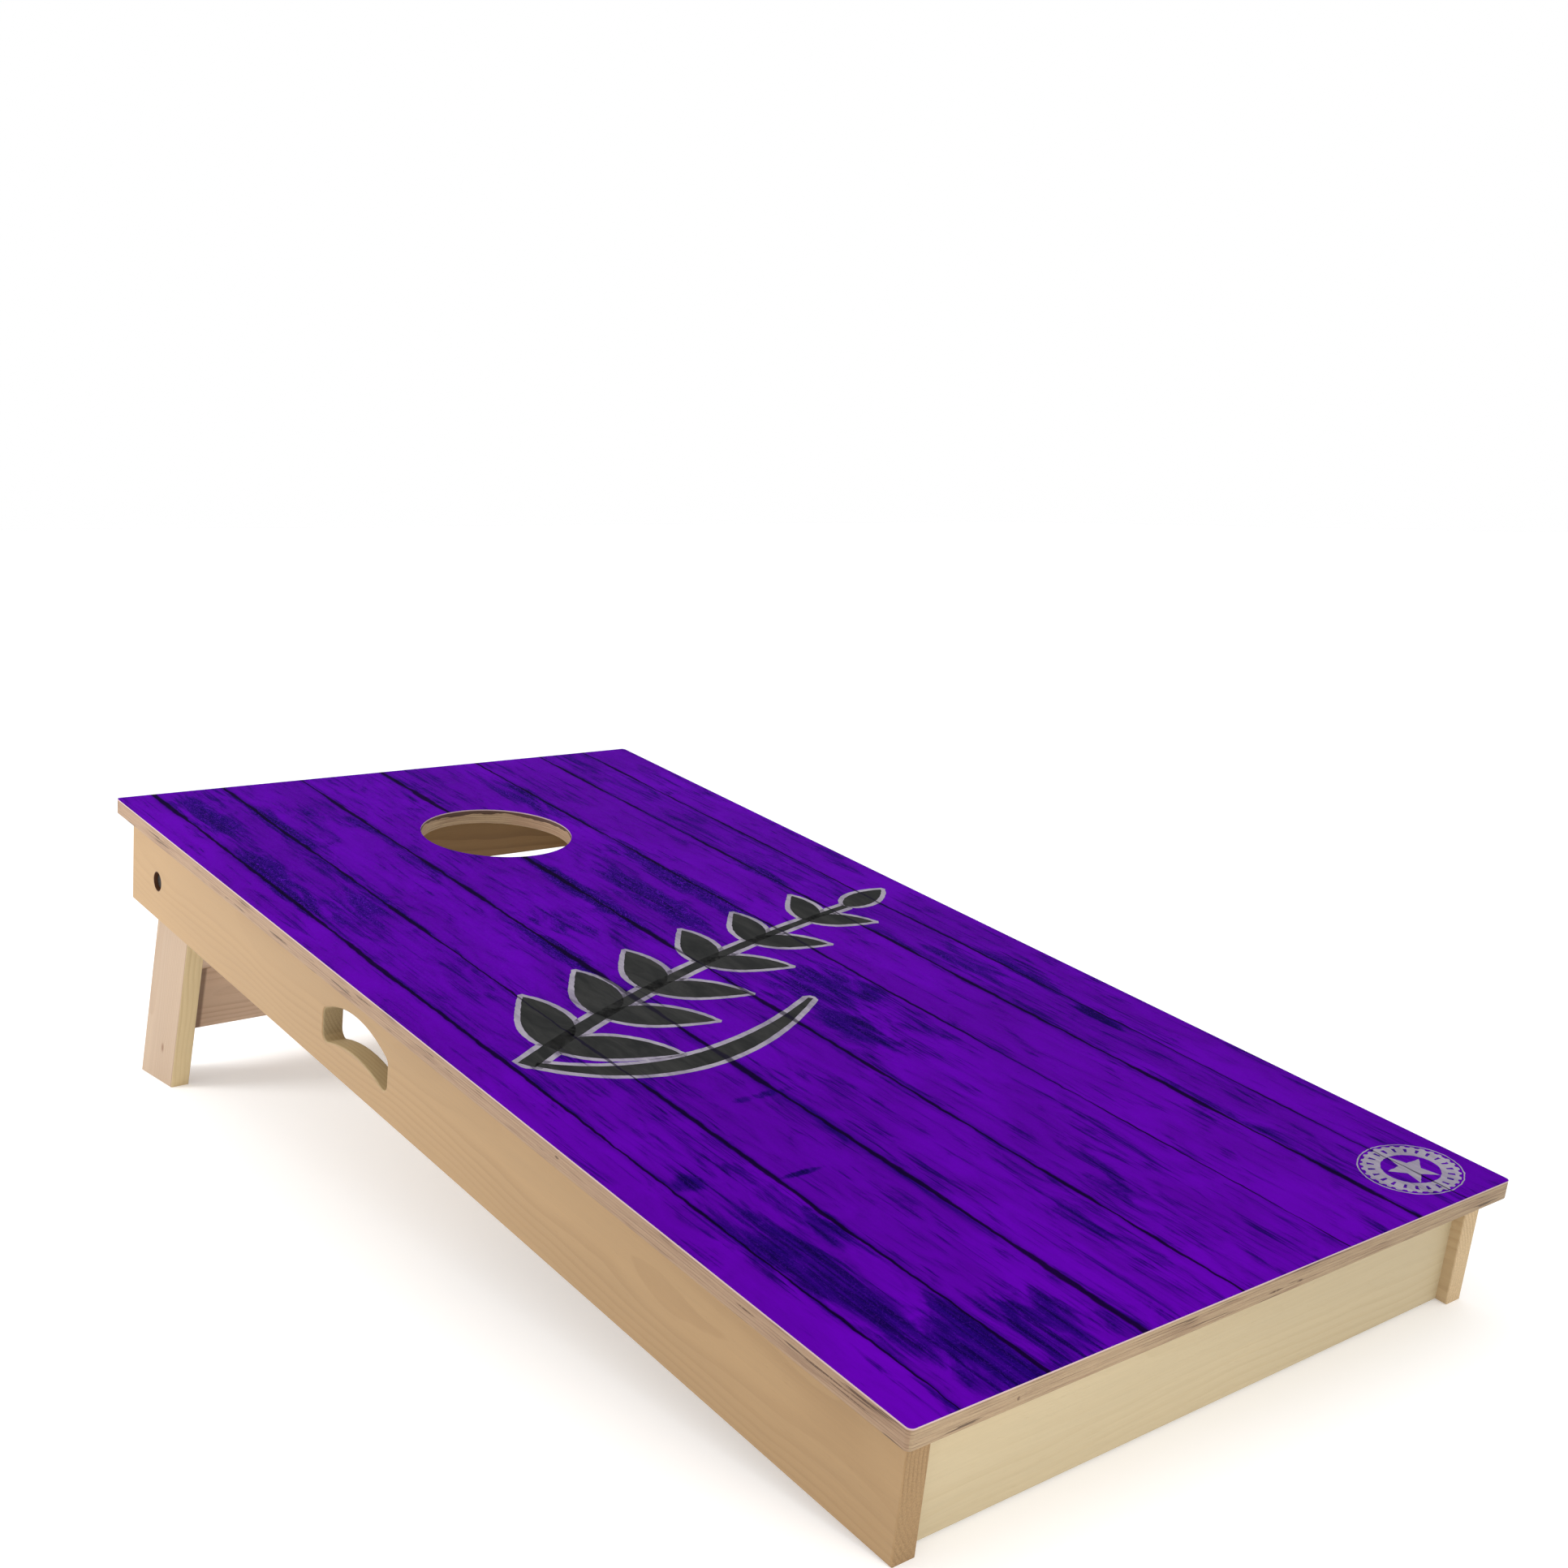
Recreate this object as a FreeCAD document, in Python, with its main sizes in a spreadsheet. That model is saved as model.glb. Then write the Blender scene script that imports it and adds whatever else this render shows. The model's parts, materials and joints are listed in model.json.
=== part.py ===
import FreeCAD, Part
import math
import os

import Sketcher
from FreeCAD import Placement, Rotation, Vector

# A cornhole board: a printed plywood deck on a lumber frame, with a pair of fold-away legs at the
# hole end. Row frame: +Z up, the ground is Z = 0, +Y runs from the low front end to the raised back
# end and +X from the left side to the right. The origin is under the middle of the board.
#
# Every piece is drawn in the board's own frame first: X across, Y along the deck from its front edge,
# Z square to the deck, with Z = 0 on the plywood's top face. BOARD then tips it onto the ground.

LEFT = "left"
RIGHT = "right"
SIDE_SIGN = {LEFT: -1, RIGHT: 1}

# A box that picks out edges reaches this far past them, in millimetres, and the smallest volume
# that counts as a cut, in cubic millimetres.
SLACK = 1.0
LEAST_CUT = 1.0

doc = FreeCAD.newDocument("cornhole_board")

# ---------------------------------------------------------------- driving dimensions, millimetres

sheet = doc.addObject("Spreadsheet::Sheet", "Dims")
cell_row = 0


def dimension(name, value):
    """Put one plain number into the sheet under its name, and return it."""
    global cell_row
    cell_row += 1
    sheet.set(f"A{cell_row}", name)
    sheet.set(f"B{cell_row}", str(value))
    sheet.setAlias(f"B{cell_row}", name)
    return value


deck_length = dimension("deck_length", 1219.2)
deck_width = dimension("deck_width", 609.6)
deck_thickness = dimension("deck_thickness", 15.0)
deck_corner = dimension("deck_corner", 4.0)
film_thickness = dimension("film_thickness", 0.3)
back_height = dimension("back_height", 304.8)
bag_hole_diameter = dimension("bag_hole_diameter", 152.4)
bag_hole_from_back = dimension("bag_hole_from_back", 228.6)

overhang = dimension("overhang", 12.7)
lumber_thickness = dimension("lumber_thickness", 19.05)
rail_depth = dimension("rail_depth", 88.9)
front_recess = dimension("front_recess", 9.5)
eased_edge = dimension("eased_edge", 1.2)

handle_length = dimension("handle_length", 118.0)
handle_centre = dimension("handle_centre", 705.0)
handle_end_height = dimension("handle_end_height", 31.0)
handle_drop = dimension("handle_drop", 68.0)
handle_top_rise = dimension("handle_top_rise", 15.0)
handle_bottom_rise = dimension("handle_bottom_rise", 11.5)
handle_corner = dimension("handle_corner", 7.0)
handle_round = dimension("handle_round", 2.0)

leg_width = dimension("leg_width", 76.2)
pivot_from_back = dimension("pivot_from_back", 79.4)
pivot_drop = dimension("pivot_drop", 49.2)
stop_gap = dimension("stop_gap", 0.3)
brace_width = dimension("brace_width", 76.2)
brace_reach = dimension("brace_reach", 166.0)

bolt_diameter = dimension("bolt_diameter", 7.94)
bolt_head_flats = dimension("bolt_head_flats", 12.7)
bolt_head_height = dimension("bolt_head_height", 5.3)
rail_bore = dimension("rail_bore", 8.0)
leg_bore = dimension("leg_bore", 8.04)
counterbore = dimension("counterbore", 19.05)
counterbore_depth = dimension("counterbore_depth", 9.5)
washer_diameter = dimension("washer_diameter", 17.5)
washer_thickness = dimension("washer_thickness", 1.6)
running_gap = dimension("running_gap", 0.2)
nut_height = dimension("nut_height", 6.2)
nut_collar_diameter = dimension("nut_collar_diameter", 11.6)
nut_collar_height = dimension("nut_collar_height", 2.2)
nut_insert_diameter = dimension("nut_insert_diameter", 10.2)
nut_insert_height = dimension("nut_insert_height", 1.8)
bolt_end = dimension("bolt_end", 1.8)
bolt_chamfer = dimension("bolt_chamfer", 0.8)
flats_chamfer_angle = dimension("flats_chamfer_angle", 30.0)

screw_shank = dimension("screw_shank", 4.2)
screw_head = dimension("screw_head", 8.4)
screw_head_height = dimension("screw_head_height", 3.6)
screw_length = dimension("screw_length", 41.0)
screw_tip = dimension("screw_tip", 5.0)
screw_point = dimension("screw_point", 0.7)
pocket_screw_shank = dimension("pocket_screw_shank", 3.6)
pocket_screw_head = dimension("pocket_screw_head", 9.2)
pocket_screw_head_height = dimension("pocket_screw_head_height", 2.4)
pocket_screw_length = dimension("pocket_screw_length", 31.75)
pocket_bore = dimension("pocket_bore", 9.5)
pocket_bore_length = dimension("pocket_bore_length", 50.0)
pocket_shoulder = dimension("pocket_shoulder", 14.0)
pocket_angle = dimension("pocket_angle", 15.0)
drive_flats = dimension("drive_flats", 3.3)
drive_depth = dimension("drive_depth", 2.6)

# ------------------------------------------------------------- dimensions that follow from those

# The deck is tipped until its back top edge is back_height above the ground, about the front
# bottom corners of the side rails, which stand on the ground.
frame_drop = dimension("frame_drop", deck_thickness + rail_depth)
tilt_run = deck_length - overhang
tilt = math.asin(back_height / math.hypot(tilt_run, frame_drop)) - math.atan2(frame_drop, tilt_run)
deck_tilt = dimension("deck_tilt", math.degrees(tilt))

# The legs swing back until their back edges meet the lower inner edge of the back apron.
pivot_y = dimension("pivot_y", deck_length - pivot_from_back)
pivot_z = dimension("pivot_z", -deck_thickness - pivot_drop)
apron_edge_y = deck_length - overhang - lumber_thickness - pivot_y
apron_edge_z = -frame_drop - pivot_z
apron_edge_angle = math.atan2(-apron_edge_z, apron_edge_y)
apron_edge_distance = math.hypot(apron_edge_y, apron_edge_z)
lean = math.acos((leg_width / 2 + stop_gap) / apron_edge_distance) - apron_edge_angle
leg_lean = dimension("leg_lean", math.degrees(lean))

# The feet are cut level with the ground.
foot_angle = dimension("foot_angle", deck_tilt + leg_lean)
pivot_height = (pivot_y - overhang) * math.sin(tilt) + (pivot_z + frame_drop) * math.cos(tilt)
leg_length = dimension("leg_length", pivot_height / math.cos(tilt + lean))

rail_face_x = dimension("rail_face_x", deck_width / 2 - overhang)
rail_inner_x = dimension("rail_inner_x", rail_face_x - lumber_thickness)
leg_face_x = dimension("leg_face_x", rail_inner_x - washer_thickness - running_gap)
leg_inner_x = dimension("leg_inner_x", leg_face_x - lumber_thickness)

# Placement of the board's frame and of the leg frame, whose origin is the pivot and whose -Z runs
# down the legs.
foot_heel_z = -leg_length - leg_width / 2 * math.tan(tilt + lean)
heel_y = pivot_y + leg_width / 2 * math.cos(lean) - foot_heel_z * math.sin(lean)
heel_z = pivot_z + leg_width / 2 * math.sin(lean) + foot_heel_z * math.cos(lean)
front_reach = -film_thickness * math.sin(tilt)
back_reach = heel_y * math.cos(tilt) - heel_z * math.sin(tilt)
ground_drop = overhang * math.sin(tilt) - frame_drop * math.cos(tilt)
BOARD = Placement(
    Vector(0, -(front_reach + back_reach) / 2, -ground_drop),
    Rotation(Vector(1, 0, 0), deck_tilt),
)
LEGS = BOARD * Placement(Vector(0, pivot_y, pivot_z), Rotation(Vector(1, 0, 0), leg_lean))

doc.recompute()


# ------------------------------------------------------------------------------- drawing helpers


def new_body(label):
    body = doc.addObject("PartDesign::Body", label)
    body.Label = label
    return body


def add_sketch(body, name, plane_role):
    """A sketch on one of the body's own origin planes."""
    sketch = body.newObject("Sketcher::SketchObject", name)
    plane = next(item for item in body.Origin.OriginFeatures if item.Role == plane_role)
    sketch.AttachmentSupport = [(plane, "")]
    sketch.MapMode = "FlatFace"
    return sketch


def number(owner, expression):
    """The present value of an expression of the sheet's cells."""
    value = owner.evalExpression(expression)
    return getattr(value, "Value", value)


def drive(sketch, kind, places, name, expression):
    """A driving constraint whose size is bound to the sheet."""
    index = sketch.addConstraint(Sketcher.Constraint(kind, *places, number(sketch, expression)))
    sketch.renameConstraint(index, name)
    sketch.setExpression(f"Constraints.{name}", expression)


def add_rectangle(sketch, left, bottom, width, height):
    x0 = number(sketch, left)
    y0 = number(sketch, bottom)
    x1 = x0 + number(sketch, width)
    y1 = y0 + number(sketch, height)
    corners = [Vector(x0, y0, 0), Vector(x1, y0, 0), Vector(x1, y1, 0), Vector(x0, y1, 0)]
    for index in range(4):
        sketch.addGeometry(Part.LineSegment(corners[index], corners[(index + 1) % 4]), False)
    for index in range(4):
        sketch.addConstraint(Sketcher.Constraint("Coincident", index, 2, (index + 1) % 4, 1))
    for index, direction in enumerate(["Horizontal", "Vertical", "Horizontal", "Vertical"]):
        sketch.addConstraint(Sketcher.Constraint(direction, index))
    drive(sketch, "DistanceX", (-1, 1, 0, 1), "left_edge", left)
    drive(sketch, "DistanceY", (-1, 1, 0, 1), "bottom_edge", bottom)
    drive(sketch, "DistanceX", (0, 1, 0, 2), "rectangle_width", width)
    drive(sketch, "DistanceY", (1, 1, 1, 2), "rectangle_height", height)


def add_circle(sketch, across, up, diameter):
    centre = Vector(number(sketch, across), number(sketch, up), 0)
    circle = Part.Circle(centre, Vector(0, 0, 1), number(sketch, diameter) / 2)
    sketch.addGeometry(circle, False)
    drive(sketch, "DistanceX", (-1, 1, 0, 3), "centre_across", across)
    drive(sketch, "DistanceY", (-1, 1, 0, 3), "centre_up", up)
    drive(sketch, "Diameter", (0,), "circle_size", diameter)


def add_handle_outline(sketch):
    """An arched hand slot: two upright ends between a lower and an upper arc."""
    left = number(sketch, "Dims.handle_centre - Dims.handle_length / 2")
    right = left + handle_length
    bottom = number(sketch, "-Dims.deck_thickness - Dims.handle_drop")
    top = bottom + handle_end_height
    low_peak = Vector(handle_centre, bottom + handle_bottom_rise, 0)
    high_peak = Vector(handle_centre, top + handle_top_rise, 0)
    corners = [Vector(left, bottom, 0), Vector(right, bottom, 0), Vector(right, top, 0), Vector(left, top, 0)]
    sketch.addGeometry(Part.Arc(corners[1], low_peak, corners[0]), False)
    sketch.addGeometry(Part.LineSegment(corners[1], corners[2]), False)
    sketch.addGeometry(Part.Arc(corners[2], high_peak, corners[3]), False)
    sketch.addGeometry(Part.LineSegment(corners[3], corners[0]), False)
    low_arc, right_end, high_arc, left_end = range(4)
    for first, first_point, second, second_point in (
        (low_arc, 1, right_end, 1),
        (right_end, 2, high_arc, 1),
        (high_arc, 2, left_end, 1),
        (left_end, 2, low_arc, 2),
    ):
        sketch.addConstraint(Sketcher.Constraint("Coincident", first, first_point, second, second_point))
    for end in (right_end, left_end):
        sketch.addConstraint(Sketcher.Constraint("Vertical", end))
    sketch.addConstraint(Sketcher.Constraint("Horizontal", right_end, 1, left_end, 2))
    sketch.addConstraint(Sketcher.Constraint("Horizontal", right_end, 2, left_end, 1))
    half = "Dims.handle_length / 2"
    drive(sketch, "DistanceX", (-1, 1, left_end, 2), "slot_start", f"Dims.handle_centre - {half}")
    drive(sketch, "DistanceY", (-1, 1, left_end, 2), "slot_base", "-Dims.deck_thickness - Dims.handle_drop")
    drive(sketch, "DistanceX", (left_end, 2, right_end, 1), "slot_length", "Dims.handle_length")
    drive(sketch, "DistanceY", (left_end, 2, left_end, 1), "slot_end_height", "Dims.handle_end_height")
    for arc, rise in ((low_arc, "handle_bottom_rise"), (high_arc, "handle_top_rise")):
        radius = f"(({half}) ^ 2 + Dims.{rise} ^ 2) / (2 * Dims.{rise})"
        drive(sketch, "Radius", (arc,), f"{rise}_radius", radius)


def add_leg_outline(sketch):
    """A leg about its pivot: a half-round head, straight edges and a foot cut level."""
    half = leg_width / 2
    toe_z = -leg_length + half * math.tan(tilt + lean)
    head = Part.ArcOfCircle(Part.Circle(Vector(0, 0, 0), Vector(0, 0, 1), half), 0, math.pi)
    sketch.addGeometry(head, False)
    sketch.addGeometry(Part.LineSegment(Vector(-half, 0, 0), Vector(-half, toe_z, 0)), False)
    sketch.addGeometry(Part.LineSegment(Vector(-half, toe_z, 0), Vector(half, foot_heel_z, 0)), False)
    sketch.addGeometry(Part.LineSegment(Vector(half, foot_heel_z, 0), Vector(half, 0, 0)), False)
    head_arc, front_edge, foot, back_edge = range(4)
    sketch.addConstraint(Sketcher.Constraint("Coincident", head_arc, 3, -1, 1))
    sketch.addConstraint(Sketcher.Constraint("Tangent", head_arc, 2, front_edge, 1))
    sketch.addConstraint(Sketcher.Constraint("Coincident", front_edge, 2, foot, 1))
    sketch.addConstraint(Sketcher.Constraint("Coincident", foot, 2, back_edge, 1))
    sketch.addConstraint(Sketcher.Constraint("Tangent", back_edge, 2, head_arc, 1))
    sketch.addConstraint(Sketcher.Constraint("Vertical", front_edge))
    sketch.addConstraint(Sketcher.Constraint("Vertical", back_edge))
    drive(sketch, "Radius", (head_arc,), "head_radius", "Dims.leg_width / 2")
    slope = "Dims.leg_width / 2 * tan(Dims.foot_angle * 1 deg)"
    drive(sketch, "DistanceY", (front_edge, 2, -1, 1), "toe_reach", f"Dims.leg_length - {slope}")
    drive(sketch, "DistanceY", (back_edge, 1, -1, 1), "heel_reach", f"Dims.leg_length + {slope}")


def add_pad(body, sketch, length, reverse=False):
    pad = body.newObject("PartDesign::Pad", "Pad")
    pad.Profile = sketch
    pad.Length = number(sketch, length)
    pad.setExpression("Length", length)
    pad.Reversed = reverse
    doc.recompute()
    return pad


def add_pocket(body, sketch, reverse, length=None):
    """Cut a sketch into the body, all the way through unless a length is given."""
    volume_before = body.Shape.Volume
    pocket = body.newObject("PartDesign::Pocket", "Pocket")
    pocket.Profile = sketch
    pocket.Reversed = reverse
    if length is None:
        pocket.Type = "ThroughAll"
    else:
        pocket.Length = number(sketch, length)
        pocket.setExpression("Length", length)
    doc.recompute()
    if body.Shape.Volume > volume_before - LEAST_CUT:
        raise RuntimeError(f"{body.Label}: the pocket {sketch.Label} removes nothing")
    return pocket


def add_fillet(body, feature, edges, radius):
    fillet = body.newObject("PartDesign::Fillet", "Fillet")
    fillet.Base = (feature, edges)
    fillet.Radius = number(feature, radius)
    fillet.setExpression("Radius", radius)
    doc.recompute()
    return fillet


def box_between(y0, z0, y1, z1):
    """A box to pick edges with, as wide as the board on both sides."""
    return FreeCAD.BoundBox(-deck_width, y0, z0, deck_width, y1, z1)


def edges_along(shape, direction, near=None):
    """Names of the straight edges that run along a direction, if asked only those in a box."""
    names = []
    for index, edge in enumerate(shape.Edges, start=1):
        if edge.Curve.TypeId != "Part::GeomLine":
            continue
        along = edge.Curve.Direction
        if abs(abs(along.dot(direction)) - 1) > 1e-6:
            continue
        if near is None or near.isInside(edge.CenterOfMass):
            names.append(f"Edge{index}")
    return names


def rim_edges(shape, direction, near=None):
    """Names of the edges that bound the flat faces square to a direction, less the drilled holes.

    If asked, only those in a box. They are the edges that a plane and a sander take the corner off.
    """
    names = []
    for index, edge in enumerate(shape.Edges, start=1):
        box = edge.BoundBox
        extent = Vector(box.XLength, box.YLength, box.ZLength)
        if extent.dot(direction) > 1e-6:
            continue
        drilled = edge.Closed and edge.Curve.Radius <= counterbore / 2
        if not drilled and (near is None or near.isInside(edge.CenterOfMass)):
            names.append(f"Edge{index}")
    return names


def compound(name, members):
    group = doc.addObject("Part::Compound", name)
    group.Links = members
    return group


def cut_piece(label, blank, tools, placement):
    """A wooden piece: its blank, less the holes for everything that passes through it."""
    piece = doc.addObject("Part::Cut", label)
    piece.Label = label
    piece.Base = blank
    piece.Tool = compound(f"{label}_holes", tools)
    piece.Placement = placement
    return piece


def node_group(label, members, placement):
    """Identical pieces that share one node, as separate solids."""
    group = compound(label, members)
    group.Label = label
    group.Placement = placement
    return group


def cylinder(name, diameter, height, base=0.0):
    item = doc.addObject("Part::Cylinder", name)
    item.setExpression("Radius", f"{diameter} / 2")
    item.setExpression("Height", height)
    item.Placement = Placement(Vector(0, 0, base), Rotation())
    return item


def cone(name, bottom_diameter, top_diameter, height, base):
    item = doc.addObject("Part::Cone", name)
    item.setExpression("Radius1", f"{bottom_diameter} / 2")
    item.setExpression("Radius2", f"{top_diameter} / 2")
    item.setExpression("Height", height)
    item.Placement = Placement(Vector(0, 0, base), Rotation())
    return item


def fuse(name, shapes, placement):
    item = doc.addObject("Part::MultiFuse", name)
    item.Shapes = shapes
    item.Refine = True
    item.Placement = placement
    return item


# ---------------------------------------------------------------------------------------- screws


def driven_screw(name, members, head_top, placement):
    """A screw from its head, shank and tip, with a square drive recess sunk into the head."""
    solid = fuse(f"{name}_solid", members, placement)
    recess = doc.addObject("Part::Box", f"{name}_drive")
    recess.setExpression("Length", "Dims.drive_flats")
    recess.setExpression("Width", "Dims.drive_flats")
    recess.setExpression("Height", "Dims.drive_depth")
    corner = Vector(-drive_flats / 2, -drive_flats / 2, head_top)
    recess.Placement = placement * Placement(corner, Rotation())
    screw = doc.addObject("Part::Cut", name)
    screw.Base = solid
    screw.Tool = recess
    return screw


def hole_shapes(screws):
    """The screws before their drive recesses are sunk: the shapes of the holes they sit in."""
    return [screw.Base for screw in screws]


def deck_screw(name, across, along):
    """A flat-head screw driven down through the deck, its head flush with the plywood."""
    tip_start = screw_length - screw_tip
    head = cone(
        f"{name}_head", "Dims.screw_head", "Dims.screw_shank", "Dims.screw_head_height", 0.0
    )
    shank = cylinder(f"{name}_shank", "Dims.screw_shank", "Dims.screw_length - Dims.screw_tip")
    tip = cone(f"{name}_tip", "Dims.screw_shank", "Dims.screw_point", "Dims.screw_tip", tip_start)
    point_down = Rotation(Vector(1, 0, 0), 180)
    placement = Placement(Vector(across, along, 0), point_down)
    return driven_screw(name, [head, shank, tip], 0.0, placement)


def pocket_screw(name, exit_point, direction):
    """A washer-head screw in a slanted pocket, and the pocket it was driven down.

    The screw leaves the end of its piece at exit_point and runs on into the next piece.
    """
    shoulder = exit_point - direction * pocket_shoulder
    along = Rotation(Vector(0, 0, 1), direction)
    tip_start = pocket_screw_length - screw_tip
    head = cylinder(
        f"{name}_head",
        "Dims.pocket_screw_head",
        "Dims.pocket_screw_head_height",
        -pocket_screw_head_height,
    )
    shank = cylinder(
        f"{name}_shank", "Dims.pocket_screw_shank", "Dims.pocket_screw_length - Dims.screw_tip"
    )
    tip = cone(
        f"{name}_tip", "Dims.pocket_screw_shank", "Dims.screw_point", "Dims.screw_tip", tip_start
    )
    placement = Placement(shoulder, along)
    screw = driven_screw(name, [head, shank, tip], -pocket_screw_head_height, placement)
    bore = cylinder(f"{name}_pocket", "Dims.pocket_bore", "Dims.pocket_bore_length")
    bore.Placement = Placement(shoulder - direction * pocket_bore_length, along)
    return screw, bore


def end_screws(name, end_x, middle_y, drive_side, heights):
    """Pocket screws at both ends of a cross piece, sorted by the side they run into.

    drive_side is +1 where the pockets open on the piece's front face and -1 on its back face.
    """
    slant = math.radians(pocket_angle)
    screws = {LEFT: [], RIGHT: []}
    bores = []
    for side in (LEFT, RIGHT):
        sign = SIDE_SIGN[side]
        direction = Vector(sign * math.cos(slant), drive_side * math.sin(slant), 0)
        for index, height in enumerate(heights, start=1):
            exit_point = Vector(sign * end_x, middle_y, height)
            screw, bore = pocket_screw(f"{name}_{side}_screw_{index}", exit_point, direction)
            screws[side].append(screw)
            bores.append(bore)
    return screws, bores


def spread(first, last, count):
    return [first + (last - first) * index / (count - 1) for index in range(count)]


# Where the deck screws go: down the middle of each side rail, each apron and the cross brace.
DECK_SCREW_INSET = 50.0
RAIL_SCREWS = 4
CROSS_SCREWS = 3
CROSS_SCREW_REACH = 180.0

front_apron_y = overhang + front_recess
back_apron_y = deck_length - overhang - lumber_thickness
cross_brace_y = (deck_length - lumber_thickness) / 2

rail_screws = {}
for side in (LEFT, RIGHT):
    rail_middle = SIDE_SIGN[side] * (rail_face_x - lumber_thickness / 2)
    rail_screws[side] = [
        deck_screw(f"deck_{side}_screw_{index}", rail_middle, along)
        for index, along in enumerate(
            spread(DECK_SCREW_INSET, deck_length - DECK_SCREW_INSET, RAIL_SCREWS), start=1
        )
    ]

cross_screws = {}
for name, piece_y in (("front", front_apron_y), ("back", back_apron_y), ("middle", cross_brace_y)):
    cross_screws[name] = [
        deck_screw(f"deck_{name}_screw_{index}", across, piece_y + lumber_thickness / 2)
        for index, across in enumerate(
            spread(-CROSS_SCREW_REACH, CROSS_SCREW_REACH, CROSS_SCREWS), start=1
        )
    ]

deck_screws = rail_screws[LEFT] + rail_screws[RIGHT]
deck_screws += cross_screws["front"] + cross_screws["back"] + cross_screws["middle"]

# Two pocket screws hold each end of each cross piece, a quarter of the depth from its edges.
screw_heights = [-deck_thickness - rail_depth / 4, -deck_thickness - rail_depth * 3 / 4]
half_lumber = lumber_thickness / 2
front_screws, front_bores = end_screws("front", rail_inner_x, front_apron_y + half_lumber, -1, screw_heights)
back_screws, back_bores = end_screws("back", rail_inner_x, back_apron_y + half_lumber, 1, screw_heights)
cross_end_screws, cross_bores = end_screws(
    "cross", rail_inner_x, cross_brace_y + half_lumber, 1, screw_heights
)

# ------------------------------------------------------------------------------ deck and its film


def deck_outline(body, thickness, downward):
    """A sheet the size of the deck, with rounded corners and the bag hole."""
    outline = add_sketch(body, "Outline", "XY_Plane")
    add_rectangle(outline, "-Dims.deck_width / 2", "0", "Dims.deck_width", "Dims.deck_length")
    pad = add_pad(body, outline, thickness, reverse=downward)
    add_fillet(body, pad, edges_along(pad.Shape, Vector(0, 0, 1)), "Dims.deck_corner")
    hole = add_sketch(body, "BagHole", "XY_Plane")
    add_circle(hole, "0", "Dims.deck_length - Dims.bag_hole_from_back", "Dims.bag_hole_diameter")
    return add_pocket(body, hole, reverse=not downward)


def make_deck():
    blank = new_body("deck_blank")
    hole = deck_outline(blank, "Dims.deck_thickness", downward=True)
    underside = box_between(-SLACK, -deck_thickness - SLACK, deck_length + SLACK, -deck_thickness + SLACK)
    add_fillet(blank, hole, rim_edges(hole.Shape, Vector(0, 0, 1), underside), "Dims.eased_edge")
    return cut_piece("deck_panel", blank, hole_shapes(deck_screws), BOARD)


def make_film():
    film = new_body("printed_film")
    deck_outline(film, "Dims.film_thickness", downward=False)
    film.Placement = BOARD
    return film


# ----------------------------------------------------------------------------------------- frame


def make_side_rail(side, passing_screws):
    """A rail drawn from its outer face inwards, so that the two sides mirror each other."""
    blank = new_body(f"{side}_rail_blank")
    inwards_is_minus_x = side == RIGHT
    outline = add_sketch(blank, "Outline", "YZ_Plane")
    length = "Dims.deck_length - 2 * Dims.overhang"
    add_rectangle(outline, "Dims.overhang", "-Dims.frame_drop", length, "Dims.rail_depth")
    add_pad(blank, outline, "Dims.lumber_thickness", reverse=inwards_is_minus_x)
    slot = add_sketch(blank, "HandSlot", "YZ_Plane")
    add_handle_outline(slot)
    slot_cut = add_pocket(blank, slot, reverse=not inwards_is_minus_x)
    slot_box = box_between(
        handle_centre - handle_length,
        -frame_drop + SLACK,
        handle_centre + handle_length,
        -deck_thickness - SLACK,
    )
    corners = edges_along(slot_cut.Shape, Vector(1, 0, 0), slot_box)
    if len(corners) != 4:
        raise RuntimeError(f"{side} rail: {len(corners)} corners in its hand slot")
    slot_corners = add_fillet(blank, slot_cut, corners, "Dims.handle_corner")
    slot_rims = rim_edges(slot_corners.Shape, Vector(1, 0, 0), slot_box)
    rounded = add_fillet(blank, slot_corners, slot_rims, "Dims.handle_round")
    ends_and_bottom = [
        box_between(0, -frame_drop - SLACK, deck_length, -frame_drop + SLACK),
        box_between(0, -frame_drop, overhang + SLACK, 0),
        box_between(deck_length - overhang - SLACK, -frame_drop, deck_length, 0),
    ]
    rims = []
    for region in ends_and_bottom:
        rims += rim_edges(rounded.Shape, Vector(1, 0, 0), region)
    add_fillet(blank, rounded, rims, "Dims.eased_edge")
    bore = add_sketch(blank, "PivotBore", "YZ_Plane")
    add_circle(bore, "Dims.pivot_y", "Dims.pivot_z", "Dims.rail_bore")
    add_pocket(blank, bore, reverse=not inwards_is_minus_x)
    recess = add_sketch(blank, "PivotRecess", "YZ_Plane")
    add_circle(recess, "Dims.pivot_y", "Dims.pivot_z", "Dims.counterbore")
    add_pocket(blank, recess, not inwards_is_minus_x, "Dims.counterbore_depth")
    blank.Placement = Placement(Vector(SIDE_SIGN[side] * rail_face_x, 0, 0), Rotation())
    return cut_piece(f"{side}_side_rail", blank, hole_shapes(passing_screws), BOARD)


def make_cross_piece(label, front_y, screws, bores):
    """A board between the two side rails, as deep as they are, with pockets for its end screws."""
    blank = new_body(f"{label}_blank")
    outline = add_sketch(blank, "Outline", "YZ_Plane")
    add_rectangle(outline, "0", "-Dims.frame_drop", "Dims.lumber_thickness", "Dims.rail_depth")
    pad = add_pad(blank, outline, "2 * Dims.rail_inner_x")
    bottom = box_between(-SLACK, -frame_drop - SLACK, deck_length, -frame_drop + SLACK)
    add_fillet(blank, pad, edges_along(pad.Shape, Vector(1, 0, 0), bottom), "Dims.eased_edge")
    blank.Placement = Placement(Vector(-rail_inner_x, front_y, 0), Rotation())
    return cut_piece(label, blank, hole_shapes(screws) + bores, BOARD)


# ------------------------------------------------------------------------------------------ legs

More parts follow.
